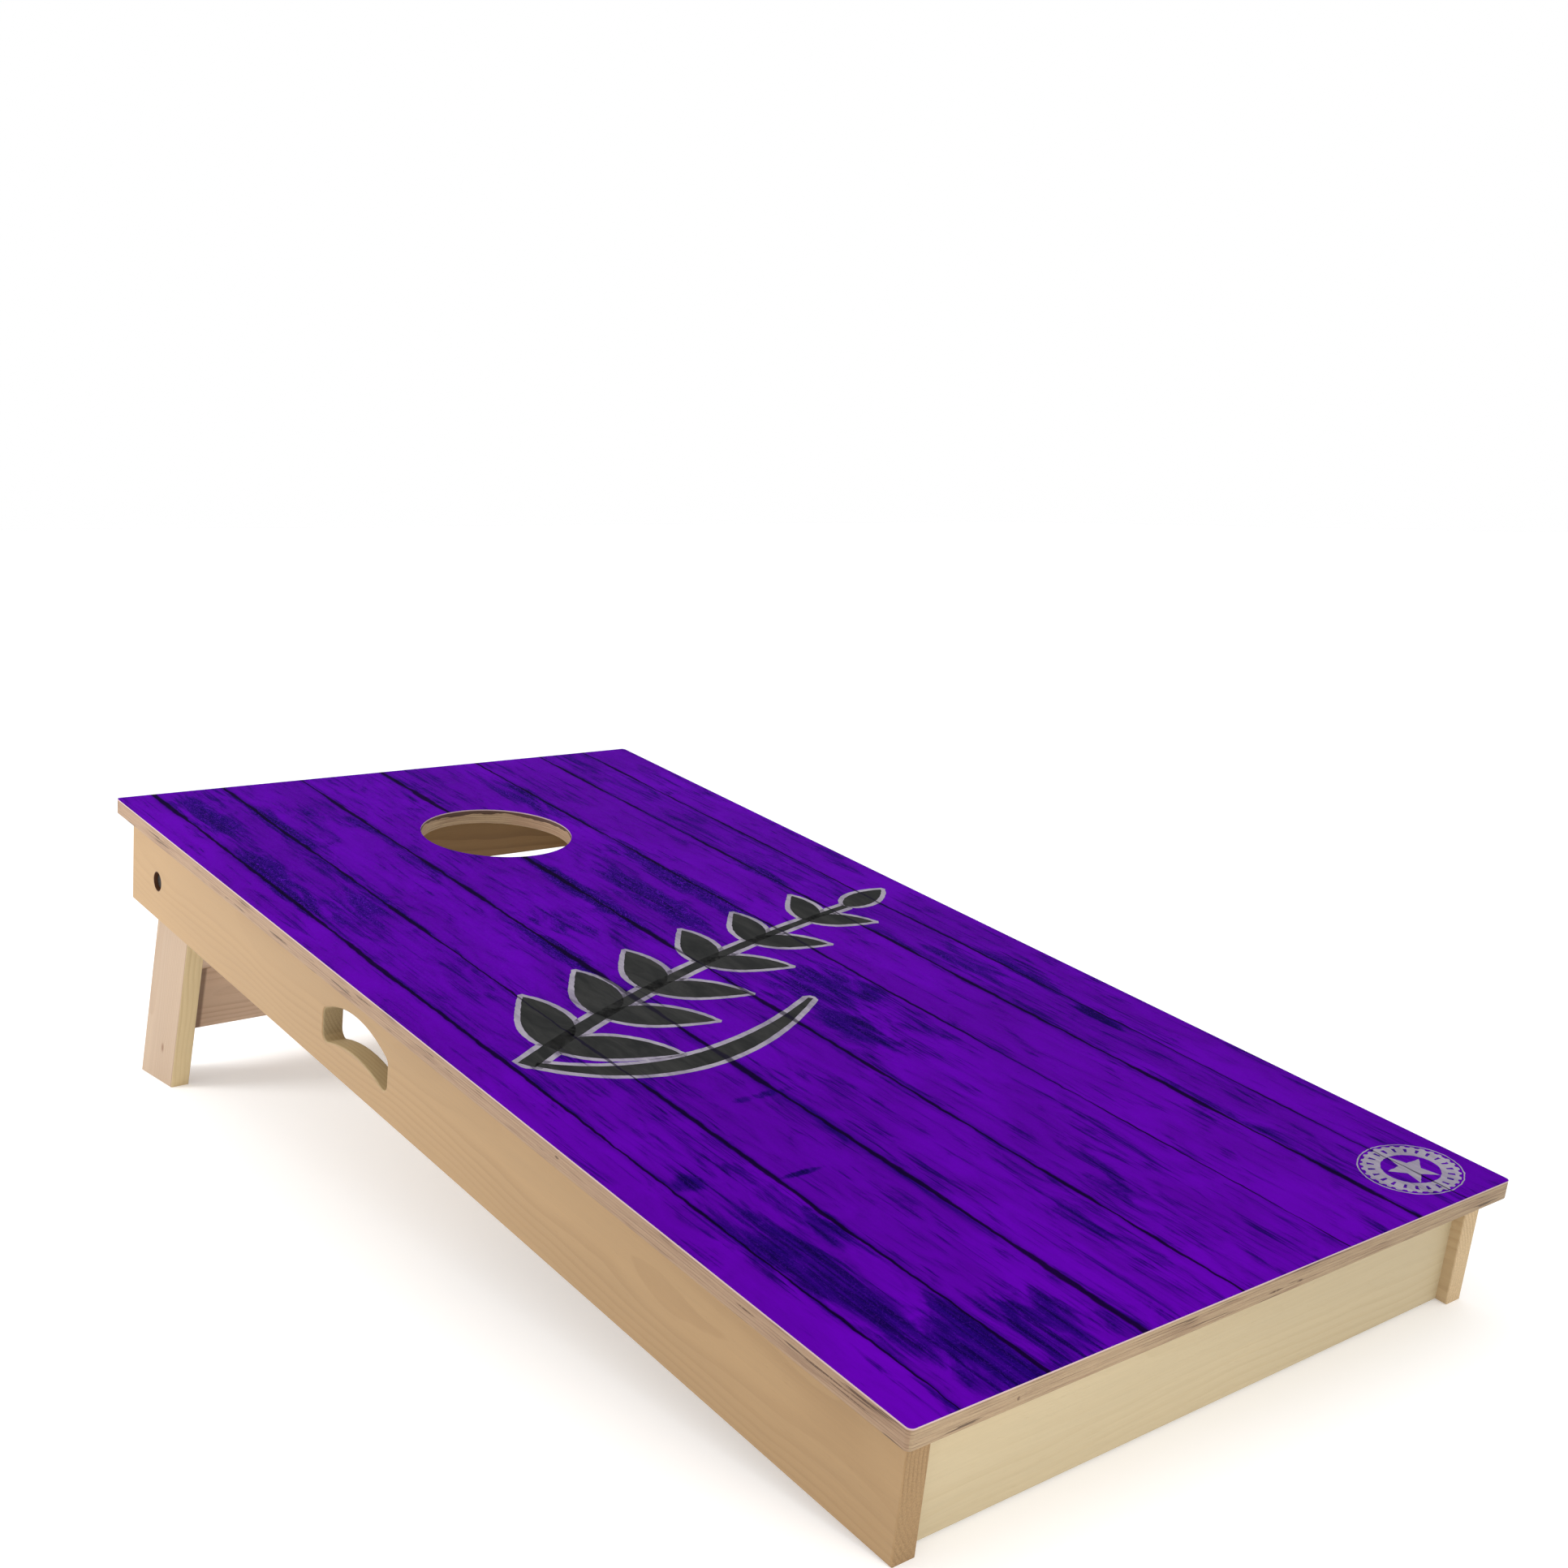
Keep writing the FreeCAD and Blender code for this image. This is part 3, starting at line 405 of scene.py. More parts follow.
def plank_pattern(graph):
    """Masks for the printed planks' seams, worn places and scratches, and two of their noises."""
    place = graph.places(DECK)
    along = graph.axes(place)[1]
    distance, wear, plank = plank_seams(graph, place)
    spots = worn_spots(graph, place)
    width = graph.span(graph.noise(place, SEAM_WIDTH), 0.36, 0.66, *SEAM_HALF_WIDTHS)
    beside = graph.span(distance, BESIDE_SEAM, 0.0)

    own_place = graph.vector("ADD", place, graph.join(0.0, 0.0, graph.times(plank, PLANK_OFFSET)))
    streaks = graph.noise(own_place, STREAKS)
    blotches = graph.noise(own_place, BLOTCHES)
    clouds = graph.noise(own_place, CLOUDS)
    lines = graph.noise(own_place, GRAIN_LINES)
    texture = graph.line(streaks, STREAK_WEIGHT, graph.times(blotches, BLOTCH_WEIGHT))
    texture = graph.line(lines, LINE_WEIGHT, texture)
    exposure = graph.math("MAXIMUM", spots, graph.times(wear, WEAR_EXPOSURE))
    exposure = graph.line(graph.times(beside, wear), SEAM_EXPOSURE, exposure)
    level = graph.line(exposure, EXPOSURE_WEIGHT, texture)
    soft = graph.span(graph.line(spots, 0.34, blotches), 0.56, 0.86)

    # The planks are duller, and more scratched, towards the back of the board.
    veil = graph.times(wear, graph.span(along, 0.15, 0.80, 0.55, 1.0))
    scratches = graph.contour(graph.noise(own_place, SWIRLS), 0.026, 0.006)
    scratches = graph.times(scratches, graph.span(along, 0.30, 0.75, 0.25, 1.0))
    hairlines = graph.contour(graph.noise(own_place, THREADS), 0.022, 0.004)
    deep = graph.span(level, 0.580, 0.695)
    glow = graph.span(distance, SEAM_GLOW, 0.0)
    return {
        "seam": graph.span(graph.math("DIVIDE", distance, width), 1.25, 0.55),
        "glow": graph.times(glow, graph.span(clouds, 0.40, 0.60, 0.3, 1.0)),
        "veil": graph.times(veil, graph.span(texture, 0.40, 0.60, 0.25, 1.0)),
        "soft": soft,
        "worn": graph.span(level, 0.525, 0.645),
        "deep": graph.times(deep, graph.span(lines, 0.38, 0.54, 0.42, 1.0)),
        "hairlines": graph.times(hairlines, graph.span(blotches, 0.44, 0.60)),
        "scratches": graph.times(scratches, graph.span(soft, 0.0, 0.8, 0.30, 0.80)),
        "clouds": graph.span(clouds, 0.35, 0.65),
        "mottle": graph.span(blotches, 0.3, 0.7),
        "fine": graph.noise(own_place, SPECKLE),
    }


def make_plank_print():
    graph = Graph("plank_print")
    pattern = plank_pattern(graph)
    shade = graph.tone(
        (pattern["mottle"], MOTTLE_TONE),
        (pattern["clouds"], CLOUD_TONE),
        (pattern["fine"], SPECKLE_TONE),
    )
    colour = graph.scaled(PURPLE, shade)
    for mask, strength, ink in PRINT_INKS:
        colour = graph.stained(colour, pattern[mask], strength, ink)
    cut_edge = graph.span(graph.facing(deck_up), 0.6, 0.3)
    colour = graph.mix(cut_edge, colour, FILM_CORE)
    graph.bump(graph.line(pattern["worn"], WORN_HEIGHT, pattern["fine"]), PRINT_RELIEF)
    return graph.finish(colour, graph.line(pattern["fine"], *PRINT_ROUGHNESS), PRINT_GLOSS)


def make_ink(name, ink, faded):
    """Ink printed over the planks: the seams and the worst of the wear show through it."""
    graph = Graph(name)
    pattern = plank_pattern(graph)
    colour = graph.mix(pattern["mottle"], ink, faded)
    colour = graph.scaled(colour, graph.tone((pattern["fine"], INK_SPECKLE_TONE)))
    colour = graph.stained(colour, pattern["deep"], WEAR_THROUGH_INK, NEAR_BLACK)
    colour = graph.stained(colour, pattern["seam"], SEAM_THROUGH_INK, NEAR_BLACK)
    graph.bump(pattern["fine"], INK_RELIEF)
    return graph.finish(colour, graph.line(pattern["fine"], *PRINT_ROUGHNESS), INK_GLOSS)


# -------------------------------------------------------------------------------------- lumber

RING_SPACING = 0.0034
RING_WANDER = 0.030
RING_SWIRL = 0.0016
LUMBER_RELIEF = 0.00008
LUMBER_GLOSS = 0.30
KNOT_BROWN = rgb(112, 74, 44)
# The next two colours are painted shade: the legs' shadow on the leg brace, and the shade in the pivot bores.
END_SHADOW_BROWN = rgb(96, 68, 50)
BORE_SHADE_BROWN = rgb(74, 36, 20)

# How strongly the late wood colours the faces and the ends, and how strongly the flecks, knots,
# painted shadow at the ends and painted shade in the bore do.
LATE_WOOD = 0.55
LATE_WOOD_ON_END = 0.5
FLECK_STRENGTH = 0.22
KNOT_STRENGTH = 0.8
END_SHADOW_STRENGTH = 0.7
BORE_SHADE_STRENGTH = 0.88

# How much distances from a knot count along, across and into the piece, so that it is longer along
# it. In knot sizes: how far off the rings begin to bend round it, how far they are pushed at its
# middle, and between which distances its border fades in.
KNOT_SCALE = (0.55, 1.0, 0.0)
KNOT_REACH = 3.2
KNOT_PUSH = 0.9
KNOT_BORDER = (1.1, 0.35)

# How widely the lumber's noises move its tone.
FIBRE_TONE = 0.16
RIBBON_TONE = 0.22
BROAD_TONE = 0.20
LATE_END_TONE = 0.9

# How squarely a face has to point out of a narrow side or an end before it is all edge or end
# grain, and how much of the edge tint, painted light on the legs, the high edge takes.
EDGE_FACING = (0.6, 0.9)
END_FACING = (0.75, 0.95)
HIGH_EDGE_SHARE = 0.3

# How sharply the borders of the slot's walls, the painted shadow at the ends and the painted shade in the bore
# fade.
WALL_FADE = 0.002
SHADOW_FADE = 0.0015
BORE_FADE = (0.0009, 0.0002)

# The lumber's noises: along, across and into the piece.
DRIFT = Grain((2.2, 7.0, 7.0))
SWIRL = Grain((16.0, 40.0, 40.0))
RING_STRENGTH = Grain((1.3, 22.0, 22.0))
FIBRE = Grain((14.0, 620.0, 620.0), 3.0, 0.6)
RIBBON = Grain((1.1, 46.0, 46.0), 3.0, 0.55)
BROAD = Grain((2.6, 9.0, 9.0))
FLECKS = Grain((95.0, 1500.0, 1500.0))
END_PORES = Grain((1.0, 1400.0, 1400.0), 2.0, 0.6)


def growth_rings(graph, place, pith, knots):
    """The share of dark late wood at a place, and how far inside a knot it is.

    pith is where the tree's middle runs, across the piece's face and behind it. Each knot has its
    place along and across the piece, and its size; the rings bend round it.
    """
    swirl = graph.noise(place, SWIRL)
    _, offset_across, offset_deep = graph.axes(graph.vector("SUBTRACT", place, (0.0, *pith)))
    radius = graph.vector("LENGTH", graph.join(0.0, offset_across, offset_deep))
    radius = graph.line(graph.noise(place, DRIFT), RING_WANDER, radius)
    radius = graph.line(swirl, RING_SWIRL, radius)
    knot_shade = 0.0
    for knot_along, knot_across, size in knots:
        distance = graph.distance(place, (knot_along, knot_across, 0.0), KNOT_SCALE)
        pushed = graph.span(distance, size * KNOT_REACH, 0.0, 0.0, size * KNOT_PUSH)
        radius = graph.math("ADD", radius, pushed)
        ragged = graph.line(swirl, RING_SWIRL, distance)
        inside = graph.span(ragged, *(size * border for border in KNOT_BORDER))
        knot_shade = graph.math("MAXIMUM", knot_shade, inside)

    # Across a ring the late wood darkens slowly and ends sharply; some stretches of it are fainter.
    ring = graph.math("FRACT", graph.math("DIVIDE", radius, RING_SPACING))
    late = graph.times(graph.span(ring, 0.35, 0.93), graph.span(ring, 1.0, 0.95))
    strength = graph.span(graph.noise(place, RING_STRENGTH), 0.3, 0.7, 0.15, 1.0)
    return graph.times(late, strength), knot_shade


def slot_walls(graph, place, broadside, first, last, reach):
    """A mask for the faces cut into a piece between two places along it, so far across it."""
    along, across, _ = graph.axes(place)
    begun = graph.span(along, first - WALL_FADE, first)
    inside = graph.times(begun, graph.span(along, last + WALL_FADE, last))
    turned = graph.times(inside, graph.span(broadside, 0.9, 0.4))
    return graph.times(turned, graph.span(graph.size(across), reach, reach - WALL_FADE))


def shadowed_ends(graph, place, broadside, shadow_from):
    """A mask for the stretches of the front and back faces further from the middle than asked, where a painted
    shadow goes.
    """
    distance = graph.size(graph.axes(place)[0])
    beyond = graph.span(distance, shadow_from - SHADOW_FADE, shadow_from + SHADOW_FADE)
    return graph.times(beyond, graph.span(broadside, 0.7, 0.9))


def make_lumber(name, along, across, pale, dark, pith, knots=(), contrast=1.0,
                edge_light_and_tint=(1.0, 1.0, 1.0), end_tone=0.9, slot=None, end_shadow=0.0, bore=None):
    """Planed lumber cut from round growth rings, seen on its faces and, as arcs, on its ends.

    edge_light_and_tint and end_tone are how much paler the piece's narrow edges and its ends are than its
    faces; the low edge across takes all of edge_light_and_tint, the high edge a share. On the legs
    edge_light_and_tint is painted light, and on the right rail the raised end_tone is painted light. slot is a
    stretch along the piece, how far across it goes, and the painted light on the faces cut into it there.
    The wide faces are darkened with a painted shadow for end_shadow from each end. bore is a drilled
    hole's place along and across the piece, and its radius: its wall is darkened with painted shade.
    """
    low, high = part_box(name)
    deep = along.cross(across)
    axes = Matrix((along, across, deep)).transposed().to_4x4()
    graph = Graph(f"{name}_lumber")
    place = graph.places(Matrix.Translation((low + high) / 2) @ axes)
    late, knot_shade = growth_rings(graph, place, pith, knots)
    fibre = graph.noise(place, FIBRE)
    ribbon = graph.noise(place, RIBBON)
    broad = graph.noise(place, BROAD)
    flecks = graph.span(graph.noise(place, FLECKS), 0.62, 0.74)

    colour = graph.stained(pale, late, LATE_WOOD * contrast, dark)
    tone = graph.tone((fibre, FIBRE_TONE), (ribbon, RIBBON_TONE * contrast), (broad, BROAD_TONE))
    colour = graph.scaled(colour, tone)
    colour = graph.stained(colour, flecks, FLECK_STRENGTH, dark)
    colour = graph.stained(colour, knot_shade, KNOT_STRENGTH, KNOT_BROWN)

    # The narrow edges are tinted, the low edge across fully and the high edge in part. On the legs this is painted
    # light, for edges that fall in shade.
    sideways = graph.facing(across)
    low_edge = graph.span(sideways, *(-limit for limit in EDGE_FACING))
    high_edge = graph.span(sideways, *EDGE_FACING, 0.0, HIGH_EDGE_SHARE)
    colour = graph.tinted(colour, graph.math("ADD", low_edge, high_edge), edge_light_and_tint)

    end = graph.span(graph.size(graph.facing(along)), *END_FACING)
    late_end = graph.scaled(dark, end_tone * LATE_END_TONE)
    end_grain = graph.stained(graph.scaled(pale, end_tone), late, LATE_WOOD_ON_END, late_end)
    pores = graph.noise(place, END_PORES)
    end_grain = graph.scaled(end_grain, graph.span(pores, 0.3, 0.7, 0.82, 1.08))
    colour = graph.mix(end, colour, end_grain)

    broadside = graph.size(graph.facing(deep))
    # The faces cut into the slot are lightened: painted light, for faces that fall in shade.
    if slot:
        *stretch_and_reach, slot_light = slot
        walls = slot_walls(graph, place, broadside, *stretch_and_reach)
        colour = graph.tinted(colour, walls, slot_light)
    # The wide faces near each end are darkened: a painted shadow, as the legs cast on the leg brace.
    if end_shadow:
        shadow_from = (high - low).dot(along) / 2 - end_shadow
        stained = shadowed_ends(graph, place, broadside, shadow_from)
        colour = graph.stained(colour, stained, END_SHADOW_STRENGTH, END_SHADOW_BROWN)
    # The bore's wall is darkened: painted shade in the recess.
    if bore:
        bore_along, bore_across, radius = bore
        distance = graph.distance(place, (bore_along, bore_across, 0.0), (1.0, 1.0, 0.0))
        bore_shade = graph.span(distance, *(radius + fade for fade in BORE_FADE))
        colour = graph.stained(colour, bore_shade, BORE_SHADE_STRENGTH, BORE_SHADE_BROWN)

    # Ends are rougher than faces. The fibre and the late wood stand up, and the flecks are sunk.
    roughness = graph.line(fibre, 0.14, graph.line(end, 0.16, 0.44))
    graph.bump(graph.line(flecks, -0.6, graph.line(late, 0.35, fibre)), LUMBER_RELIEF)
    return graph.finish(colour, roughness, LUMBER_GLOSS)


# ------------------------------------------------------------------------------------- plywood

PLY_THICKNESS = 0.015 / 7
PLY_WAVER = 0.0008
PLYWOOD_RELIEF = 0.00008
PLYWOOD_GLOSS = 0.28
EDGE_PALE = rgb(160, 137, 108)
EDGE_DARK = rgb(138, 114, 88)
SIDE_EDGE = rgb(144, 110, 90)
EDGE_STAIN = rgb(118, 90, 70)
GLUE = rgb(84, 60, 44)
VOID = rgb(66, 46, 34)
GAP = rgb(70, 44, 28)
RIM_DARK = rgb(58, 34, 26)
FACE_PALE = rgb(196, 168, 128)
FACE_DARK = rgb(160, 126, 86)
# The next colour is a painted highlight along the top of every cut edge, under the film.
TOP_EDGE_HIGHLIGHT = rgb(208, 178, 186)

# The bag hole's wall is darker at its top in a band about the hole, as deep as this where it is
# deepest. A pale pink band under the film, along every cut edge, is a painted highlight.
RIM_DARK_DEPTH = 0.0056
RIM_BAND = (0.004, 0.002)
TOP_EDGE_HIGHLIGHT_DEPTH = (0.0012, 0.0004)
TOP_EDGE_HIGHLIGHT_STRENGTH = 0.65

# Gaps in the plies at the panel's front and left edges: place across, along and below the top
# face, half length and half height.
PLY_GAPS = (
    (0.327, 0.000, 0.0103, 0.0090, 0.0010),
    (0.353, 0.000, 0.0100, 0.0040, 0.0010),
    (0.086, 0.000, 0.0090, 0.0014, 0.0016),
    (0.000, 0.040, 0.0040, 0.0260, 0.0006),
    (0.000, 0.075, 0.0066, 0.0340, 0.0007),
    (0.000, 0.052, 0.0092, 0.0240, 0.0006),
    (0.000, 0.152, 0.0068, 0.0110, 0.0008),
    (0.000, 0.371, 0.0060, 0.0030, 0.0012),
    (0.000, 0.668, 0.0048, 0.0190, 0.0008),
    (0.000, 0.826, 0.0094, 0.0190, 0.0010),
)

# The plywood's noises: across, along and into the deck.
WAVER = Grain((7.0, 7.0, 40.0))
GLUE_BREAKS = Grain((17.0, 17.0, 420.0), 3.0)
RAGGED_STAIN = Grain((38.0, 38.0, 0.0))
PLY_FINE = Grain((420.0, 420.0, 900.0), 3.0, 0.6)
PLY_LENGTHWISE = Grain((46.0, 46.0, 1500.0), 3.0, 0.6)
EDGE_STAINS = Grain((15.0, 15.0, 260.0), 3.0)
EDGE_VOIDS = Grain((15.0, 15.0, 400.0))
FIGURE = Grain((5.0, 1.3, 1.0), 3.0, 0.5, 0.6)
FIGURE_LINES = 16.0
FACE_PORES = Grain((900.0, 26.0, 1.0), 3.0, 0.6)


def ply_gaps(graph, place, fine):
    """A mask for the gaps in the plies, broken up by the finest noise."""
    gaps = 0.0
    for across, along, depth, half_length, half_height in PLY_GAPS:
        scale = (1 / half_length, 1 / half_length, 1 / half_height)
        distance = graph.distance(place, (across, along, -depth), scale)
        gaps = graph.math("MAXIMUM", gaps, graph.span(distance, 1.15, 0.45))
    return graph.times(gaps, graph.span(fine, 0.36, 0.52, 0.35, 1.0))


def dark_rim(graph, place, depth_below):
    """A mask for the hole's wall down to a ragged depth from its top, where it is darker."""
    distance = graph.distance(place, tuple(bag_hole), (1.0, 1.0, 0.0))
    at_hole = graph.span(distance, *(BAG_HOLE_RADIUS + margin for margin in RIM_BAND))
    ragged = graph.noise(place, RAGGED_STAIN)
    depth = graph.span(ragged, 0.30, 0.70, RIM_DARK_DEPTH * 0.3, RIM_DARK_DEPTH)
    return graph.times(at_hole, graph.math("LESS_THAN", depth_below, depth))


def ply_edges(graph, place, depth_below, fine):
    """The colour of the panel's cut edges, and a mask for the glue between its plies."""
    wavered = graph.line(graph.noise(place, WAVER), PLY_WAVER, depth_below)
    layer = graph.math("DIVIDE", wavered, PLY_THICKNESS)

    # Glue darkens both borders of each ply, in broken lines.
    within = graph.math("FRACT", layer)
    glue = graph.math("MAXIMUM", graph.span(within, 0.17, 0.04), graph.span(within, 0.86, 0.97))
    glue = graph.times(glue, graph.span(graph.noise(place, GLUE_BREAKS), 0.44, 0.62, 0.22, 1.0))

    # Every other ply runs across the deck, so it shows end grain where its neighbours don't.
    odd_or_even = graph.math("PINGPONG", graph.math("FLOOR", layer), 1.0)
    crossed = graph.math("GREATER_THAN", odd_or_even, 0.5)
    side = graph.span(graph.size(graph.facing(ACROSS)), 0.55, 0.75)
    on_end = graph.size(graph.math("SUBTRACT", graph.math("SUBTRACT", 1.0, crossed), side))

    edge = graph.stained(EDGE_PALE, on_end, 0.30, EDGE_DARK)
    lengthwise = graph.noise(place, PLY_LENGTHWISE)
    edge = graph.scaled(edge, graph.span(lengthwise, 0.3, 0.7, 0.86, 1.10))
    edge = graph.scaled(edge, graph.span(fine, 0.3, 0.7, 0.94, 1.05))
    for mask, strength, stain in (
        (side, 0.45, SIDE_EDGE),
        (graph.span(graph.noise(place, EDGE_STAINS), 0.50, 0.68), 0.50, EDGE_STAIN),
        (glue, 0.62, GLUE),
        (graph.span(graph.noise(place, EDGE_VOIDS), 0.635, 0.675), 0.80, VOID),
        (ply_gaps(graph, place, fine), 0.82, GAP),
        (dark_rim(graph, place, depth_below), 0.90, RIM_DARK),
    ):
        edge = graph.stained(edge, mask, strength, stain)
    return edge, glue


def ply_face(graph, place):
    """The colour of the panel's wide face: rotary-cut figure and fine pores."""
    figure = graph.math("FRACT", graph.times(graph.noise(place, FIGURE), FIGURE_LINES))
    figure = graph.times(graph.span(figure, 0.3, 0.9), graph.span(figure, 1.0, 0.93))
    face = graph.stained(FACE_PALE, figure, 0.35, FACE_DARK)
    return graph.scaled(face, graph.span(graph.noise(place, FACE_PORES), 0.3, 0.7, 0.88, 1.06))


def make_plywood():
    """Cross-laid plies: a little paler where their grain runs along the edge than on its end."""
    graph = Graph("plywood")
    place = graph.places(DECK)
    depth_below = graph.math("SUBTRACT", 0.0, graph.axes(place)[2])
    fine = graph.noise(place, PLY_FINE)
    edge, glue = ply_edges(graph, place, depth_below, fine)
    flat = graph.span(graph.size(graph.facing(deck_up)), 0.7, 0.9)
    colour = graph.mix(flat, edge, ply_face(graph, place))
    # A pale pink band just under the film is a painted highlight along every cut edge.
    colour = graph.stained(colour, graph.span(depth_below, *TOP_EDGE_HIGHLIGHT_DEPTH), TOP_EDGE_HIGHLIGHT_STRENGTH, TOP_EDGE_HIGHLIGHT)
    graph.bump(graph.line(glue, -0.6, fine), PLYWOOD_RELIEF)
    return graph.finish(colour, graph.line(fine, 0.15, 0.48), PLYWOOD_GLOSS)


# ---------------------------------------------------------------------------- metal and nylon

METAL_MOTTLE = Grain((420.0, 420.0, 420.0), 4.0, 0.6, 0.4)
TOOL_MARKS = Grain((260.0, 2600.0, 2600.0))
METAL_SPOTS = Grain((170.0, 170.0, 170.0), 3.0)
NYLON_CLOUD = Grain((300.0, 300.0, 300.0), 3.0)
METAL_RELIEF = 0.00002
METAL_GLOSS = 0.5
NYLON_RELIEF = 0.00003
NYLON_GLOSS = 0.45


def make_metal(name, pale, dull, roughness):
    """Plated steel: a faint crystalline mottle, dull spots and tool marks."""
    graph = Graph(name)
    place = graph.coordinates.outputs["Object"]
    mottle = graph.noise(place, METAL_MOTTLE)
    marks = graph.noise(place, TOOL_MARKS)
    spots = graph.span(graph.noise(place, METAL_SPOTS), 0.56, 0.72)
    colour = graph.mix(graph.span(mottle, 0.3, 0.7), pale, dull)
    colour = graph.stained(colour, spots, 0.35, graph.scaled(dull, 0.55))
    rough = graph.line(spots, 0.15, graph.line(mottle, 0.22, roughness))
    graph.bump(graph.line(mottle, 0.4, marks), METAL_RELIEF)
    graph.shader.inputs["Metallic"].default_value = 1.0
    return graph.finish(colour, rough, METAL_GLOSS)


def make_nylon():
    graph = Graph("nylon")
    cloud = graph.noise(graph.coordinates.outputs["Object"], NYLON_CLOUD)
    colour = graph.mix(cloud, rgb(232, 230, 222), rgb(205, 202, 190))
    graph.bump(cloud, NYLON_RELIEF)
    return graph.finish(colour, graph.line(cloud, 0.2, 0.35), NYLON_GLOSS)


# ---------------------------------------------------------------------- what each node is made of

paint("printed_film", make_plank_print())
paint("deck_panel", make_plywood())

# The faces cut into a side rail reach a little past the slot's stated openings, and are lightened
# with painted light, for faces that fall in shade; its pivot bore is a recess for the bolt's head,
# its wall darkened with painted shade.
SLOT_MARGIN = 0.006
SLOT_REACH = 0.041
SLOT_PAINTED_LIGHT = (1.32, 1.62, 1.92)
COUNTERBORE_RADIUS = 0.009525

rail_low, rail_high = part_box("left_side_rail")
rail_middle = (rail_low + rail_high) / 2
slot_low = Vector(openings["left_hand_slot_front"][0])
slot_high = Vector(openings["left_hand_slot_back"][1])
SLOT = (
    (slot_low - rail_middle).dot(deck_along) - SLOT_MARGIN,
    (slot_high - rail_middle).dot(deck_along) + SLOT_MARGIN,
    SLOT_REACH,
    SLOT_PAINTED_LIGHT,
)
to_pivot = pivot - rail_middle
PIVOT_BORE = (to_pivot.dot(deck_along), to_pivot.dot(deck_up), COUNTERBORE_RADIUS)

RAIL_COLOURS = (rgb(158, 128, 90), rgb(136, 105, 69))
RIGHT_RAIL_COLOURS = (rgb(184, 160, 124), rgb(164, 136, 100))
FRONT_APRON_COLOURS = (rgb(188, 172, 139), rgb(169, 148, 111))
# The back apron's colours are its own, darkened as painted shade for the inside of the board.
BACK_APRON_COLOURS_WITH_SHADE = (rgb(135, 108, 71), rgb(112, 86, 53))
LEG_COLOURS = (rgb(163, 140, 117), rgb(143, 117, 92))
BRACE_COLOURS = (rgb(206, 178, 153), rgb(170, 136, 112))
# The legs' narrow edges are lightened and turned yellower: painted light, for edges that fall in shade.
LEG_EDGE_LIGHT_AND_TINT = (1.68, 1.84, 1.55)
LEG_KNOT = (-0.095, -0.016, 0.0045)
# The leg brace's wide faces are darkened this far from each end: a painted shadow of the legs.
BRACE_END_SHADOW = 0.031

DECK_AXES = (deck_along, deck_up)
CROSS_AXES = (ACROSS, deck_up)
LEG_AXES = (leg_up, leg_across)
BRACE_AXES = (ACROSS, leg_up)

# Each piece of lumber: the directions along and across it, its pale and dark colours, where its
# pith is, and what is particular to it.
LUMBER = {
    "left_side_rail": (DECK_AXES, RAIL_COLOURS, (0.02, 0.075),
                       {"contrast": 0.6, "end_tone": 0.92, "slot": SLOT, "bore": PIVOT_BORE}),
    # The right rail's ends are made paler than its faces: painted light on its front end.
    "right_side_rail": (DECK_AXES, RIGHT_RAIL_COLOURS, (-0.015, -0.068),
                        {"contrast": 0.8, "end_tone": 1.20, "slot": SLOT, "bore": PIVOT_BORE}),
    "front_apron": (CROSS_AXES, FRONT_APRON_COLOURS, (0.03, -0.16), {"contrast": 0.4}),
    "back_apron": (CROSS_AXES, BACK_APRON_COLOURS_WITH_SHADE, (-0.02, 0.08), {}),
    "center_cross_brace": (CROSS_AXES, RAIL_COLOURS, (0.01, 0.06), {}),
    "left_leg": (LEG_AXES, LEG_COLOURS, (0.02, 0.05),
                 {"knots": (LEG_KNOT,), "edge_light_and_tint": LEG_EDGE_LIGHT_AND_TINT}),
    "right_leg": (LEG_AXES, LEG_COLOURS, (-0.03, -0.06), {"edge_light_and_tint": LEG_EDGE_LIGHT_AND_TINT}),
    "leg_brace": (BRACE_AXES, BRACE_COLOURS, (0.01, -0.05), {"end_shadow": BRACE_END_SHADOW}),
}
for name, (directions, colours, pith, details) in LUMBER.items():
    paint(name, make_lumber(name, *directions, *colours, pith, **details))

black_oxide = make_metal("black_oxide", rgb(50, 44, 40), rgb(30, 26, 24), roughness=0.42)
yellow_zinc = make_metal("yellow_zinc_plate", rgb(214, 190, 128), rgb(160, 132, 84), roughness=0.26)
nylon = make_nylon()
for name in nodes:
    if name.endswith("_screws"):
        paint(name, yellow_zinc)
    elif name.endswith("_insert"):
        paint(name, nylon)
    elif name.endswith(("_bolt", "_washer", "_nut")):
        paint(name, black_oxide)

# ---------------------------------------------------------------------- printed motif and emblem
#
# Each is a thin layer of pale ink on the film with a darker layer over it. They are drawn about
# their own middle, X across and Y along the deck.

FILM_THICKNESS = 0.0003
INK_LAYER = 0.00006
ROUGH_EDGE = 0.0006
ROUGH_EDGE_GRAIN = 260
OUTLINE_STEP = 0.003

# The noise that roughens the ink's edges is seeded, so that every run draws the same edges.
EDGE_SEED = 5
noise.seed_set(EDGE_SEED)


def roughened(point):
    """A point of an ink edge, moved a little, as a worn print's edge is."""
    x, y = point
    shift = noise.noise_vector(Vector((x * ROUGH_EDGE_GRAIN, y * ROUGH_EDGE_GRAIN, 0.5)))
    return x + shift.x * ROUGH_EDGE, y + shift.y * ROUGH_EDGE


def subdivided(points):
    """The same closed outline with points no further apart than a step."""
    outline = []
    for index, start in enumerate(points):
        end = points[(index + 1) % len(points)]
        count = max(1, math.ceil(math.dist(start, end) / OUTLINE_STEP))
        outline += [
            (start[0] + (end[0] - start[0]) * k / count, start[1] + (end[1] - start[1]) * k / count)
            for k in range(count)
        ]
    return outline


